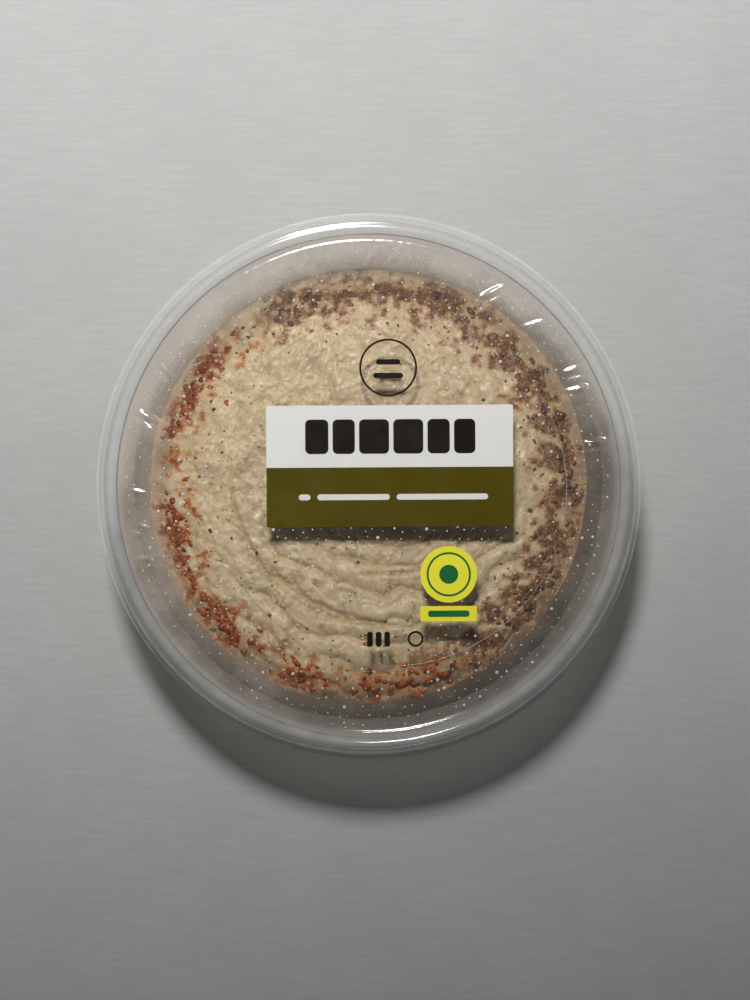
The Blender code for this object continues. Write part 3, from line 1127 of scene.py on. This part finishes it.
    def height(self, x: np.ndarray, y: np.ndarray) -> np.ndarray:
        """The surface's height.

        A dome (edge height plus the rise times one minus the relative radius to a high power),
        plus strokes, folds and lumps under their masks, less the furrows. The finer relief
        fades out in the last two millimetres before the wall.

        Args:
            x: Places to the right of the axis, in mm.
            y: Places towards the top of the print, in mm.

        Returns:
            The height at each place, in mm.
        """
        r, angle = np.hypot(x, y), np.arctan2(y, x)
        edge = self.edge_height(angle)
        reach = np.clip(r / self.tub.inner_radius(edge), 0.0, 1.0)
        dome = edge + (self.crown - 0.9 - edge) * (1.0 - reach ** self.power)
        calm = 1.0 - smooth_step(reach, 0.96, 1.0)
        shoulder = 1.0 - 0.6 * smooth_step(reach, 0.6, 0.9)
        relief = 1.45 * shoulder * self.stroke_mask(x, y) * (self.strokes(x, y) - 0.8)
        relief += 0.42 * shoulder * (self.folds(x, y) - 0.5)
        relief += 0.42 * self.grain_mask(x, y) * (self.lumps(x, y) - 0.35)
        relief += 0.55 * PlaneNoise(45, 8.0, 3)(x, y)
        relief -= 0.55 * self.furrows(x, y)
        return dome + relief * calm

    def disc(self) -> tuple[np.ndarray, np.ndarray]:
        """A square grid bent onto the unit disc, so that its cells keep nearly one size.

        Each square ring becomes a circle: the longer of the two coordinates is the radius, and
        the ratio of the two runs over an eighth of a turn to either side of its axis.
        """
        side = np.linspace(-1.0, 1.0, self.grid)
        v, u = np.meshgrid(side, side, indexing="ij")
        wide = np.abs(u) > np.abs(v)
        lead = np.where(wide, u, v)
        safe = np.where(np.abs(lead) < 1e-12, 1.0, lead)
        turn = 0.25 * np.pi * np.where(wide, v, u) / safe
        angle = np.where(wide, turn, 0.5 * np.pi - turn)
        return lead * np.cos(angle), lead * np.sin(angle)

    def rim_indices(self) -> np.ndarray:
        """The grid's outer points, in order round the disc, counter-clockwise from -X -Y."""
        index = np.arange(self.grid ** 2).reshape(self.grid, self.grid)
        return np.concatenate((index[0, :-1], index[:-1, -1], index[-1, :0:-1], index[:0:-1, 0]))

    def stains(self, x: np.ndarray, y: np.ndarray, kind: Bit) -> np.ndarray:
        """How strongly one relish colours the paste, 0 to 1.

        Each clump adds a soft bell, measured along the ring and across it. A fainter band of
        colour joins the clumps. Two sizes of noise break both up before the level is taken.

        Args:
            x: Places to the right of the axis, in mm.
            y: Places towards the top of the print, in mm.
            kind: The painted attribute of the relish.

        Returns:
            The strength of the stain at each place.
        """
        r, angle = np.hypot(x, y), np.arctan2(y, x)
        middle, half, band = self.bands[kind]
        off = np.abs(angle_apart(angle, math.radians(middle)))
        reach = 1.0 - smooth_step(off, math.radians(half - 14.0), math.radians(half + 10.0))
        total = band * reach * np.exp(-((r - 42.8) / 6.4) ** 2)
        for clump in self.clumps:
            if clump.kind is kind:
                along = angle_apart(angle, clump.angle) * r / (0.58 * clump.length)
                across = (r - clump.radius) / (0.62 * clump.width)
                total = np.maximum(total, 0.85 * np.exp(-(along ** 4 + across ** 2)))
        ragged = 0.62 * PlaneNoise(51, 4.2, 2)(x, y) + 0.5 * PlaneNoise(52, 1.9, 2)(x, y)
        return smooth_step(total + ragged * smooth_step(total, 0.02, 0.35), 0.12, 1.05)

    @staticmethod
    def stepped(path: np.ndarray, step: float) -> np.ndarray:
        """The path's points, with others set between them so that no gap is longer than step."""
        parts = [a + (b - a) * np.linspace(0.0, 1.0, max(1, math.ceil(math.dist(a, b) / step)),
                                           endpoint=False)[:, None] for a, b in zip(path, path[1:])]
        return np.vstack(parts + [path[-1:]])

    def build(self, finish: bpy.types.Material) -> bpy.types.Object:
        """Builds the mound's top, and under it the tub's inner form, just inside the wall.

        Args:
            finish: The finish that it takes.

        Returns:
            The new piece.
        """
        disc_x, disc_y = self.disc()
        turn = np.arctan2(disc_y, disc_x)
        reach = self.tub.inner_radius(self.edge_height(turn)) + self.bite
        x, y = disc_x * reach, disc_y * reach
        z = self.height(x, y)
        top = np.stack((x, y, z), -1).reshape(-1, 3)
        rim = self.rim_indices()
        count = len(rim)
        inner = offset_path(self.tub.midline(1.2), 0.5 * self.tub.wall - self.bite)
        low = self.stepped(inner[inner[:, 0] > 1e-6], 1.1)
        low = low[(low[:, 0] < 42.0) | (low[:, 1] < self.edge - 2.2)][::-1]
        angles = np.arctan2(top[rim, 1], top[rim, 0])
        rings = np.stack((low[:, 0][:, None] * np.cos(angles), low[:, 0][:, None] * np.sin(angles),
                          low[:, 1][:, None] + 0.0 * angles), -1)
        base = len(top)
        points = np.vstack((top, rings.reshape(-1, 3), ((0.0, 0.0, inner[0, 1]),)))
        index = np.arange(self.grid ** 2).reshape(self.grid, self.grid)
        quads = np.stack((index[:-1, :-1], index[:-1, 1:], index[1:, 1:], index[1:, :-1]), -1)
        step = np.arange(count)
        beside = (step + 1) % count
        skirt = np.stack((rim[step], base + step, base + beside, rim[beside]), -1)
        wall = ring_faces(len(low), count, base)[:, ::-1]
        foot = fan_faces(len(points) - 1, len(points) - 1 - count, count, True)
        faces = [quads.reshape(-1, 4), skirt, wall, foot]
        piece = add_piece("hummus_mound", points, faces, finish, ("hummus",))
        self.dress(piece, points)
        return piece

    def dress(self, piece: bpy.types.Object, points: np.ndarray) -> None:
        """Paints the crests, grey patches and relish stains onto the mound, with painted shade in the
        furrows, and oil stain with painted shade at the edge away from the lamp.

        Against the wall the noise runs along the wall and down it, and the stains fade out a few
        millimetres down.

        Args:
            piece: The piece to paint.
            points: The points of the piece.
        """
        x, y = points[:, 0], points[:, 1]
        depth = np.clip(self.edge - 1.2 - points[:, 2], 0.0, None)
        down = np.arange(len(points)) >= self.grid ** 2
        ragged = depth + 2.5 * PlaneNoise(55, 5.0, 2)(x * 1.4, y * 1.4 + depth)
        soaked = np.where(down, 1.0 - smooth_step(ragged, 0.5, 5.0), 1.0)
        # The crest value is high on lumps, folds and stroke tops and low in furrows; the material paints the
        # low places darker as shade.
        crest = 0.25 + 0.45 * self.lumps(x, y) * self.grain_mask(x, y) + 0.3 * self.folds(x, y)
        crest += self.stroke_mask(x, y) * (0.55 * self.strokes(x, y) - 0.3) - 0.6 * self.furrows(x, y)
        grey = smooth_step(PlaneNoise(53, 6.0, 3)(x, y), 0.1, 0.75)
        # Painted shade, partly oil stain: the edge is darkened most on the side away from the lamp.
        side = 0.52 - 0.45 * np.cos(np.arctan2(y, x) - math.radians(110.0))
        edge_stain_and_shade = smooth_step(np.hypot(x, y) + 1.5 * PlaneNoise(54, 5.0, 2)(x, y), 41.5, 49.0) * side
        turn = 46.0 * np.arctan2(y, x)
        wall = 0.6 + 0.5 * PlaneNoise(56, 4.0, 3)(turn, 2.0 * depth)
        crest = np.where(down, wall, crest)
        grey = np.where(down, smooth_step(PlaneNoise(57, 5.0, 3)(turn, 1.5 * depth), 0.1, 0.8), grey)
        edge_stain_and_shade = np.where(down, 0.0, edge_stain_and_shade)
        paint(piece, "crest", np.clip(crest, 0.0, 1.0))
        paint(piece, "grey", 0.55 * grey)
        paint(piece, "edge_stain_and_shade", np.clip(edge_stain_and_shade, 0.0, 0.9))
        paint(piece, "olive", self.stains(x, y, Bit.OLIVE) * soaked)
        faded = np.exp(-(angle_apart(np.arctan2(y, x), math.radians(277.0)) / 0.42) ** 2)
        paint(piece, "tomato", self.stains(x, y, Bit.TOMATO) * (1.0 - 0.42 * faded) * soaked)


@dataclass
class Crumbs:
    """Small uneven chopped bits of one kind, made as one mesh from arrays."""

    kind: Bit
    mound: Mound
    seed: int

    def ball(self) -> tuple[np.ndarray, np.ndarray]:
        """A coarse ball: two poles and three rings of seven points, with its faces."""
        ring = np.arange(7) * TURN / 7
        rows = [np.column_stack((math.sin(t) * np.cos(ring + 0.45 * k), math.sin(t) * np.sin(ring + 0.45 * k),
                                 np.full(7, -math.cos(t))))
                for k, t in enumerate((0.25 * np.pi, 0.5 * np.pi, 0.75 * np.pi))]
        points = np.vstack(rows + [np.array(((0.0, 0.0, -1.0), (0.0, 0.0, 1.0)))])
        quads = ring_faces(3, 7)
        halves = np.vstack((quads[:, :3], quads[:, (0, 2, 3)]))
        faces = np.vstack((halves, fan_faces(21, 0, 7, True), fan_faces(22, 14, 7, False)))
        return points, faces

    def scatter(self, x: np.ndarray, y: np.ndarray, size: np.ndarray, flat: float, sunk: float,
                tone: np.ndarray, finish: bpy.types.Material,
                replaced: tuple[str, ...] = ()) -> bpy.types.Object:
        """Lays bits on the mound.

        Args:
            x, y: the bits' middles.
            size: half of each bit's length.
            flat: the bits' thickness as a share of their length.
            sunk: how deep they lie, as a share of their half thickness.
            tone: each bit's tone, 0 dark to 1 light.
            finish: the material.
            replaced: the solids that the bits stand for.

        Returns:
            One piece with all the bits. A bit is the coarse ball with each point moved in or out
            at random, stretched along three axes, tipped and turned.
        """
        draw = np.random.default_rng(self.seed)
        ball, faces = self.ball()
        count = len(x)
        bumps = 1.0 + 0.22 * draw.standard_normal((count, len(ball), 1)).clip(-1.6, 1.6)
        scale = np.stack((np.ones(count), draw.uniform(0.55, 0.95, count),
                          flat * draw.uniform(0.7, 1.2, count)), -1) * size[:, None]
        body = ball[None] * bumps * scale[:, None, :]
        tip, turn = draw.normal(0.0, 0.3, count), draw.random(count) * TURN
        ct, st, cn, sn = np.cos(tip), np.sin(tip), np.cos(turn), np.sin(turn)
        zero = np.zeros(count)
        tilt = np.array(((ct, zero, st), (zero, zero + 1.0, zero), (-st, zero, ct))).transpose(2, 0, 1)
        spin = np.array(((cn, -sn, zero), (sn, cn, zero), (zero, zero, zero + 1.0))).transpose(2, 0, 1)
        body = np.einsum("nij,njk,npk->npi", spin, tilt, body)
        level = self.mound.height(x, y) - sunk * scale[:, 2]
        body += np.stack((x, y, level), -1)[:, None, :]
        shift = (np.arange(count) * len(ball))[:, None, None]
        all_faces = (faces[None] + shift).reshape(-1, 3)
        piece = add_piece(self.kind.value, body.reshape(-1, 3), [all_faces], finish, replaced)
        paint(piece, "tone", np.repeat(tone, len(ball)))
        return piece


@dataclass
class Relish:
    """The chopped olive and tomato, the herb specks and the pale chickpea grains."""

    mound: Mound
    reach: float = 48.0

    def in_clumps(self, kind: Bit, draw: np.random.Generator, per_area: float) -> np.ndarray:
        """Places bits in every clump of one kind, thicker towards its middle.

        Args:
            kind: the relish.
            draw: the random source.
            per_area: bits for each square millimetre of the clump's box.

        Returns:
            (x, y, share) rows, where share is 0 at a clump's middle and 1 at its edge.
        """
        rows = []
        for clump in self.mound.clumps:
            if clump.kind is not kind:
                continue
            count = int(per_area * clump.length * clump.width)
            away = draw.random(count) ** 0.65
            turn = draw.random(count) * TURN
            radius = clump.radius + 0.55 * clump.width * away * np.sin(turn)
            angle = clump.angle + 0.58 * clump.length * away * np.cos(turn) / clump.radius
            rows.append(np.column_stack((radius * np.cos(angle), radius * np.sin(angle), away)))
        found = np.vstack(rows)
        return found[np.hypot(found[:, 0], found[:, 1]) < self.reach]

    def on_ring(self, draw: np.random.Generator, count: int, inner: float, outer: float,
                start: float = 0.0, sweep: float = 360.0) -> np.ndarray:
        """(x, y) rows strewn evenly over part of a ring, angles in degrees."""
        radius = np.sqrt(draw.uniform(inner ** 2, outer ** 2, count))
        angle = np.radians(start + sweep * draw.random(count))
        return np.column_stack((radius * np.cos(angle), radius * np.sin(angle)))

    def build(self, finishes: dict) -> None:
        """Builds the four kinds of bits.

        Args:
            finishes: The finish of each kind of bit.
        """
        olive_nodes = tuple(n for n in sorted(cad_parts) if n.startswith("relish_olive"))
        tomato_nodes = tuple(n for n in sorted(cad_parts) if n.startswith("relish_tomato"))
        draw = np.random.default_rng(61)
        bits = self.in_clumps(Bit.OLIVE, draw, 0.3)
        loose = self.on_ring(draw, 170, 34.0, 47.0, -60.0, 190.0)
        x, y = np.concatenate((bits[:, 0], loose[:, 0])), np.concatenate((bits[:, 1], loose[:, 1]))
        size = np.concatenate((draw.lognormal(-0.25, 0.45, len(bits)), draw.lognormal(-0.9, 0.4, len(loose))))
        tone = draw.beta(1.6, 2.0, len(x))
        Crumbs(Bit.OLIVE, self.mound, 62).scatter(
            x, y, size.clip(0.25, 2.2), 0.4, 0.7, tone, finishes["olive"], olive_nodes)
        bits = self.in_clumps(Bit.TOMATO, draw, 0.3)
        loose = self.on_ring(draw, 110, 33.0, 47.0, 130.0, 190.0)
        x, y = np.concatenate((bits[:, 0], loose[:, 0])), np.concatenate((bits[:, 1], loose[:, 1]))
        size = np.concatenate((draw.lognormal(-0.25, 0.45, len(bits)), draw.lognormal(-0.9, 0.4, len(loose))))
        tone = draw.beta(2.0, 1.8, len(x))
        Crumbs(Bit.TOMATO, self.mound, 63).scatter(
            x, y, size.clip(0.25, 2.2), 0.4, 0.6, tone, finishes["tomato"], tomato_nodes)
        specks = np.vstack((self.on_ring(draw, 60, 0.0, 34.0), self.on_ring(draw, 70, 34.0, 48.0)))
        size = draw.lognormal(-1.3, 0.45, len(specks)).clip(0.12, 0.8)
        Crumbs(Bit.HERB, self.mound, 64).scatter(
            specks[:, 0], specks[:, 1], size, 0.5, 0.1, draw.random(len(specks)), finishes["herb"])
        grains = self.on_ring(draw, 1100, 0.0, 47.0)
        keep = draw.random(len(grains)) < self.mound.grain_mask(grains[:, 0], grains[:, 1]) ** 1.5
        grains = grains[keep]
        size = draw.lognormal(-0.62, 0.3, len(grains)).clip(0.25, 1.0)
        Crumbs(Bit.GRAIN, self.mound, 65).scatter(
            grains[:, 0], grains[:, 1], size, 0.6, 0.75, draw.random(len(grains)), finishes["grain"])


@dataclass
class WaterBeads:
    """Beads of condensed water under the film, spread on a loose honeycomb."""

    film: SealFilm
    spacing: float = 2.25
    jitter: float = 0.3
    reach: float = 53.6
    ring: int = 9

    def places(self, draw: np.random.Generator) -> np.ndarray:
        """Honeycomb points inside the reach, each moved a little and some left out.

        Args:
            draw: The random source.

        Returns:
            The places of the pieces.
        """
        rows = np.arange(-30, 31)
        column, row = np.meshgrid(rows, rows)
        x = self.spacing * (column + 0.5 * (row % 2))
        y = self.spacing * math.sqrt(0.75) * row
        points = np.column_stack((x.ravel(), y.ravel()))
        points += draw.normal(0.0, self.jitter, points.shape)
        keep = (np.hypot(points[:, 0], points[:, 1]) < self.reach) & (draw.random(len(points)) < 0.95)
        return points[keep]

    def build(self, finish: bpy.types.Material) -> bpy.types.Object:
        """Builds every bead as a flat ring under the film and a rounded cap below it.

        Args:
            finish: The finish that it takes.

        Returns:
            The new piece.
        """
        draw = np.random.default_rng(71)
        place = self.places(draw)
        count = len(place)
        size = draw.lognormal(-1.85, 0.42, count).clip(0.08, 0.4)
        turn = np.arange(self.ring) * TURN / self.ring
        shape = np.vstack([np.column_stack((s * np.cos(turn), s * np.sin(turn), np.full(self.ring, -d)))
                           for s, d in ((1.0, 0.0), (0.75, 0.45))] + [((0.0, 0.0, 0.0), (0.0, 0.0, -0.62))])
        level = self.film.top - self.film.thickness - 0.03
        body = shape[None] * size[:, None, None]
        body += np.column_stack((place, np.full(count, level)))[:, None, :]
        wide = self.ring
        faces = np.vstack((fan_faces(2 * wide, 0, wide, False), fan_faces(2 * wide + 1, wide, wide, True)))
        quads = ring_faces(2, wide)[:, ::-1]
        faces = np.vstack((faces, quads[:, :3], quads[:, (0, 2, 3)]))
        shift = (np.arange(count) * len(shape))[:, None, None]
        return add_piece("water_beads", body.reshape(-1, 3), [(faces[None] + shift).reshape(-1, 3)],
                         finish)


@dataclass
class WallSmear:
    """The thin smear of paste and oil that fades up the wall above the mound."""

    mound: Mound
    rows: int = 14
    segments: int = 288
    rise: float = 9.5
    skin: float = 0.06

    def build(self, finish: bpy.types.Material) -> bpy.types.Object:
        """Builds the smear: a skin just inside the wall, both faces joined at top and bottom.

        Args:
            finish: The finish that it takes.

        Returns:
            The new piece.
        """
        tub = self.mound.tub
        share, angle = np.meshgrid(np.linspace(0.0, 1.0, self.rows),
                                   np.arange(self.segments) * TURN / self.segments, indexing="ij")
        height = self.mound.edge_height(angle) - 0.8 + share * self.rise
        layers = []
        for inset in (0.04, 0.04 + self.skin):
            radius = tub.inner_radius(height) - inset
            layers.append(np.stack((radius * np.cos(angle), radius * np.sin(angle), height), -1))
        points = np.vstack((layers[0].reshape(-1, 3), layers[1][::-1].reshape(-1, 3)))
        rows = 2 * self.rows
        last = np.arange(self.segments) + (rows - 1) * self.segments
        beside = np.roll(last, -1)
        first = last - (rows - 1) * self.segments
        close = np.stack((last, beside, np.roll(first, -1), first), -1)
        piece = add_piece("wall_smear", points, [ring_faces(rows, self.segments), close], finish)
        ragged = 0.3 * PlaneNoise(81, 6.0, 3)(49.0 * angle, 30.0 * share)
        # Painted light and shade: side is 1 towards the lamp, where the smear is paler and covers more.
        side = 0.5 + 0.5 * np.cos(angle - math.radians(122.0))
        fade = np.clip((1.0 - share) ** 1.3 + ragged * share * (1.0 - share) * 2.0, 0.0, 1.0)
        fade *= 0.62 + 0.33 * side
        paint(piece, "smear", np.concatenate((fade.ravel(), fade[::-1].ravel())))
        paint(piece, "lit", np.concatenate((side.ravel(), side[::-1].ravel())))
        return piece


# ------------------------------------------------------------------ the print

@dataclass
class Print:
    """The film's print: plain panels, bars, rings and discs of ink, with no lettering."""

    film: SealFilm
    ink: float = 0.02
    turn: float = math.radians(0.35)
    arc_points: int = 48

    def lay(self, name: str, outline: np.ndarray, layer: int, finish: bpy.types.Material,
            hole: np.ndarray | None = None) -> bpy.types.Object:
        """Lays one flat patch of ink on the film.

        Args:
            name: the piece's name.
            outline: (x, y) points counter-clockwise.
            layer: how many layers of ink lie under it.
            finish: the ink's material.
            hole: for a ring, the inner outline, with as many points.

        Returns:
            The patch: the outline at two levels, closed at the sides and both faces.
        """
        c, s = math.cos(self.turn), math.sin(self.turn)
        spin = np.array(((c, s), (-s, c)))
        loops = [outline @ spin] + ([hole @ spin] if hole is not None else [])
        low = self.film.top + 0.03 + layer * 1.5 * self.ink
        count = len(outline)
        rings = [np.column_stack((loop, np.full(count, z)))
                 for loop in loops for z in (low, low + self.ink)]
        points = np.vstack(rings)
        step = np.arange(count)
        beside = (step + 1) % count
        side = np.stack((step, beside, count + beside, count + step), -1)
        if hole is None:
            faces = [side, step[None, ::-1], (count + step)[None]]
        else:
            inner = side[:, ::-1] + 2 * count
            under = np.stack((step, 2 * count + step, 2 * count + beside, beside), -1)
            faces = [side, inner, under, under[:, ::-1] + count]
        return add_piece(name, points, faces, finish, sharp=30.0)

    def bar(self, left: float, bottom: float, right: float, top: float, rounding: float) -> np.ndarray:
        """A rectangle's outline with its corners rounded by quarter circles.

        Args:
            left: Left side, in mm.
            bottom: Lower side, in mm.
            right: Right side, in mm.
            top: Upper side, in mm.
            rounding: Radius of the corners, in mm.

        Returns:
            The outline of the bar, in mm.
        """
        radius = min(rounding, 0.499 * (right - left), 0.499 * (top - bottom))
        quarter = np.linspace(0.0, 0.5 * np.pi, 7)
        corners = ((right - radius, top - radius, 0.0), (left + radius, top - radius, 0.5 * np.pi),
                   (left + radius, bottom + radius, np.pi), (right - radius, bottom + radius, 1.5 * np.pi))
        return np.vstack([np.column_stack((x + radius * np.cos(start + quarter),
                                           y + radius * np.sin(start + quarter)))
                          for x, y, start in corners])

    def circle(self, x: float, y: float, radius: float) -> np.ndarray:
        """A circle's outline."""
        turn = np.arange(self.arc_points) * TURN / self.arc_points
        return np.column_stack((x + radius * np.cos(turn), y + radius * np.sin(turn)))

    def build(self, inks: dict) -> None:
        """Lays the panels, then what is printed over and beside them.

        Args:
            inks: The ink of each field.
        """
        left, right = -22.5, 32.0
        self.lay("panel_white", self.bar(left, 4.0, right, 17.7, 0.15), 0, inks["white"])
        self.lay("panel_olive", self.bar(left, -9.1, right, 4.0, 0.15), 1, inks["olive"])
        widths = (5.1, 4.9, 6.6, 6.6, 4.9, 4.7)
        gap = 0.95
        start = -13.9
        for number, width in enumerate(widths):
            block = self.bar(start, 7.0, start + width, 14.6, 1.1)
            self.lay(f"title_block_{number}", block, 1, inks["dark"])
            start += width + gap
        start = -15.4
        for number, width in enumerate((2.6, 16.0, 20.2)):
            line = self.bar(start, -3.2, start + width, -1.9, 0.65)
            self.lay(f"subtitle_line_{number}", line, 2, inks["white"])
            start += width + 1.5
        self.lay("emblem_ring", self.circle(4.5, 26.0, 6.4), 0, inks["dark"],
                 hole=self.circle(4.5, 26.0, 5.95))
        for number, (half, y) in enumerate(((2.7, 27.1), (3.3, 24.1))):
            line = self.bar(4.5 - half, y - 0.45, 4.5 + half, y + 0.75, 0.6)
            self.lay(f"emblem_line_{number}", line, 0, inks["dark"])
        badge = (17.6, -19.7)
        self.lay("badge_disc", self.circle(*badge, 6.25), 0, inks["yellow"])
        self.lay("badge_ring", self.circle(*badge, 4.9), 1, inks["green"],
                 hole=self.circle(*badge, 4.45))
        self.lay("badge_dot", self.circle(*badge, 2.1), 1, inks["green"])
        self.lay("badge_bar", self.bar(11.3, -30.1, 23.8, -26.7, 0.3), 0, inks["yellow"])
        self.lay("badge_bar_line", self.bar(13.0, -29.1, 22.1, -27.7, 0.5), 1, inks["green"])
        for number, x in enumerate((-0.5, 1.4, 3.3)):
            self.lay(f"weight_block_{number}", self.bar(x, -35.6, x + 1.25, -32.3, 0.5), 0, inks["dark"])
        self.lay("weight_ring", self.circle(10.2, -33.9, 1.75), 0, inks["dark"],
                 hole=self.circle(10.2, -33.9, 1.3))


# ------------------------------------------------------------------ the studio

@dataclass
class Studio:
    """A pale floor, a key lamp beyond the print's top edge, and soft light from low all round."""

    key_way: tuple[float, float, float] = (-0.07, 0.44, 1.0)
    key_reach: float = 1.3
    key_aim: tuple[float, float, float] = (-0.08, 0.37, 0.0)
    key_radius: float = 0.092
    key_cone: float = math.radians(54.0)
    key_power: float = 97.0
    ceiling: float = 0.02
    walls: float = 0.42
    floor_radius: float = 900.0
    backdrop: float = 0.6
    camera_place: tuple[float, float] = (0.00144, -0.0032)
    camera_height: float = 0.600
    view_height: float = 0.2207

    def floor(self) -> None:
        """Adds the floor: a large round sheet at the height of the foot."""
        rim = self.floor_radius
        points, faces = turned(np.array(((0.0, -2.0), (rim, -2.0), (rim, 0.0), (0.0, 0.0))), 64)
        mesh = bpy.data.meshes.new("floor")
        mesh.from_pydata((points * MM).tolist(), [], [r for g in faces for r in np.asarray(g).tolist()])
        mesh.materials.append(Worktop("worktop", srgb(172, 173, 170)).material())
        floor = bpy.data.objects.new("floor", mesh)
        bpy.context.scene.collection.objects.link(floor)
        floor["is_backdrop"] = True

    def lamps(self) -> None:
        """Adds the key lamp and the sky."""
        lamp = bpy.data.lights.new("key", "SPOT")
        lamp.energy, lamp.shadow_soft_size = self.key_power, self.key_radius
        lamp.spot_size, lamp.spot_blend = self.key_cone, 1.0
        key = bpy.data.objects.new("key", lamp)
        key.location = Vector(self.key_way).normalized() * self.key_reach
        aim = Vector(self.key_aim) - key.location
        key.rotation_euler = aim.to_track_quat("-Z", "Y").to_euler()
        bpy.context.scene.collection.objects.link(key)
        world = bpy.data.worlds.new("sky")
        world.use_nodes = True
        tree = world.node_tree
        background = tree.nodes["Background"]
        background.inputs["Color"].default_value = (1.0, 1.0, 1.0, 1.0)
        way = tree.nodes.new("ShaderNodeSeparateXYZ")
        tree.links.new(tree.nodes.new("ShaderNodeTexCoord").outputs["Generated"], way.inputs[0])
        room = tree.nodes.new("ShaderNodeMapRange")
        room.interpolation_type = "SMOOTHSTEP"
        room.inputs["From Min"].default_value = 0.85
        room.inputs["From Max"].default_value = 0.1
        room.inputs["To Min"].default_value = self.ceiling
        room.inputs["To Max"].default_value = self.walls
        tree.links.new(way.outputs["Z"], room.inputs["Value"])
        ray = tree.nodes.new("ShaderNodeLightPath")
        shown = tree.nodes.new("ShaderNodeMapRange")
        shown.inputs["To Max"].default_value = self.backdrop
        tree.links.new(room.outputs[0], shown.inputs["To Min"])
        tree.links.new(ray.outputs["Is Camera Ray"], shown.inputs["Value"])
        tree.links.new(shown.outputs[0], background.inputs["Strength"])
        bpy.context.scene.world = world

    def camera(self, film_height: float) -> None:
        """Adds the camera, straight above, level with the print.

        Args:
            film_height: the film's height in metres, where view_height is measured.
        """
        view = bpy.data.cameras.new("camera")
        view.sensor_width = 36.0
        view.lens = view.sensor_width * self.camera_height / self.view_height
        camera = bpy.data.objects.new("camera", view)
        camera.location = (*self.camera_place, film_height + self.camera_height)
        bpy.context.scene.collection.objects.link(camera)
        bpy.context.scene.camera = camera

    def build(self, film_height: float) -> None:
        """Sets the whole studio up."""
        self.floor()
        self.lamps()
        self.camera(film_height)
        bpy.context.scene.view_settings.view_transform = "Standard"


def main() -> None:
    """Builds every sub-assembly in order and reports each piece."""
    logging.basicConfig(level=logging.INFO, format="%(name)s: %(message)s")
    tub, lid, film = Tub(), Lid(), SealFilm()
    Studio().build(film.top * MM)
    tub.build(ClearSheet("clear_tub", (0.985, 0.985, 0.98), (0.88, 0.88, 0.87),
                         srgb(240, 238, 232)).material())
    lid_plastic = ClearSheet("clear_lid", (0.992, 0.992, 0.99), (0.88, 0.88, 0.87), srgb(242, 242, 240))
    clear_lid = lid_plastic.material()
    lid.build(clear_lid)
    LidCrease(lid).build(clear_lid)
    film.build(MistedFilm("misted_film", srgb(240, 226, 210), srgb(134, 94, 78)).material())
    clumps = [Clump.read(node) for node in sorted(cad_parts) if node.startswith("relish_")]
    mound = Mound(tub, clumps)
    # rim is the dark brown of the edge's oil stain and painted shade; the furrow colour is the cream's
    # painted shade in creases.
    mound.build(MoistPaste("hummus", crest=srgb(238, 214, 174), shaded_furrow=srgb(188, 162, 120),
                           grey=srgb(170, 150, 120), rim=srgb(126, 98, 78),
                           olive=Stain(srgb(204, 166, 124), srgb(152, 110, 74), srgb(96, 62, 40)),
                           tomato=Stain(srgb(212, 162, 110), srgb(180, 98, 44), srgb(112, 38, 10)),
                           ).material())
    # The smear's dark and pale tones are its painted shade and painted light.
    WallSmear(mound).build(ThinSmear("thin_smear", srgb(136, 114, 98), srgb(240, 222, 202)).material())
    Relish(mound).build({
        "olive": OilyBit("chopped_olive", srgb(148, 108, 78), srgb(92, 64, 48)).material(),
        "tomato": OilyBit("chopped_tomato", srgb(192, 96, 34), srgb(116, 44, 14)).material(),
        "herb": OilyBit("herb", srgb(128, 118, 88), srgb(58, 54, 42)).material(),
        "grain": OilyBit("chickpea_grain", srgb(228, 208, 172), srgb(206, 184, 146), 0.5).material(),
    })
    WaterBeads(film).build(WaterBead("water_bead_painted_glint", srgb(250, 246, 236)).material())
    Print(film).build({
        "white": Ink("ink_white", srgb(238, 237, 233), srgb(230, 229, 225)).material(),
        "olive": Ink("ink_olive", srgb(84, 74, 8), srgb(98, 88, 24)).material(),
        "dark": Ink("ink_dark", srgb(30, 24, 20), srgb(40, 34, 28)).material(),
        "yellow": Ink("ink_yellow", srgb(253, 244, 66), srgb(250, 238, 76)).material(),
        "green": Ink("ink_green", srgb(30, 112, 60), srgb(40, 120, 66)).material(),
    })
    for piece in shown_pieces():
        LOG.info("%s: %d faces", piece.name, len(piece.data.polygons))


if __name__ == "__main__":
    main()
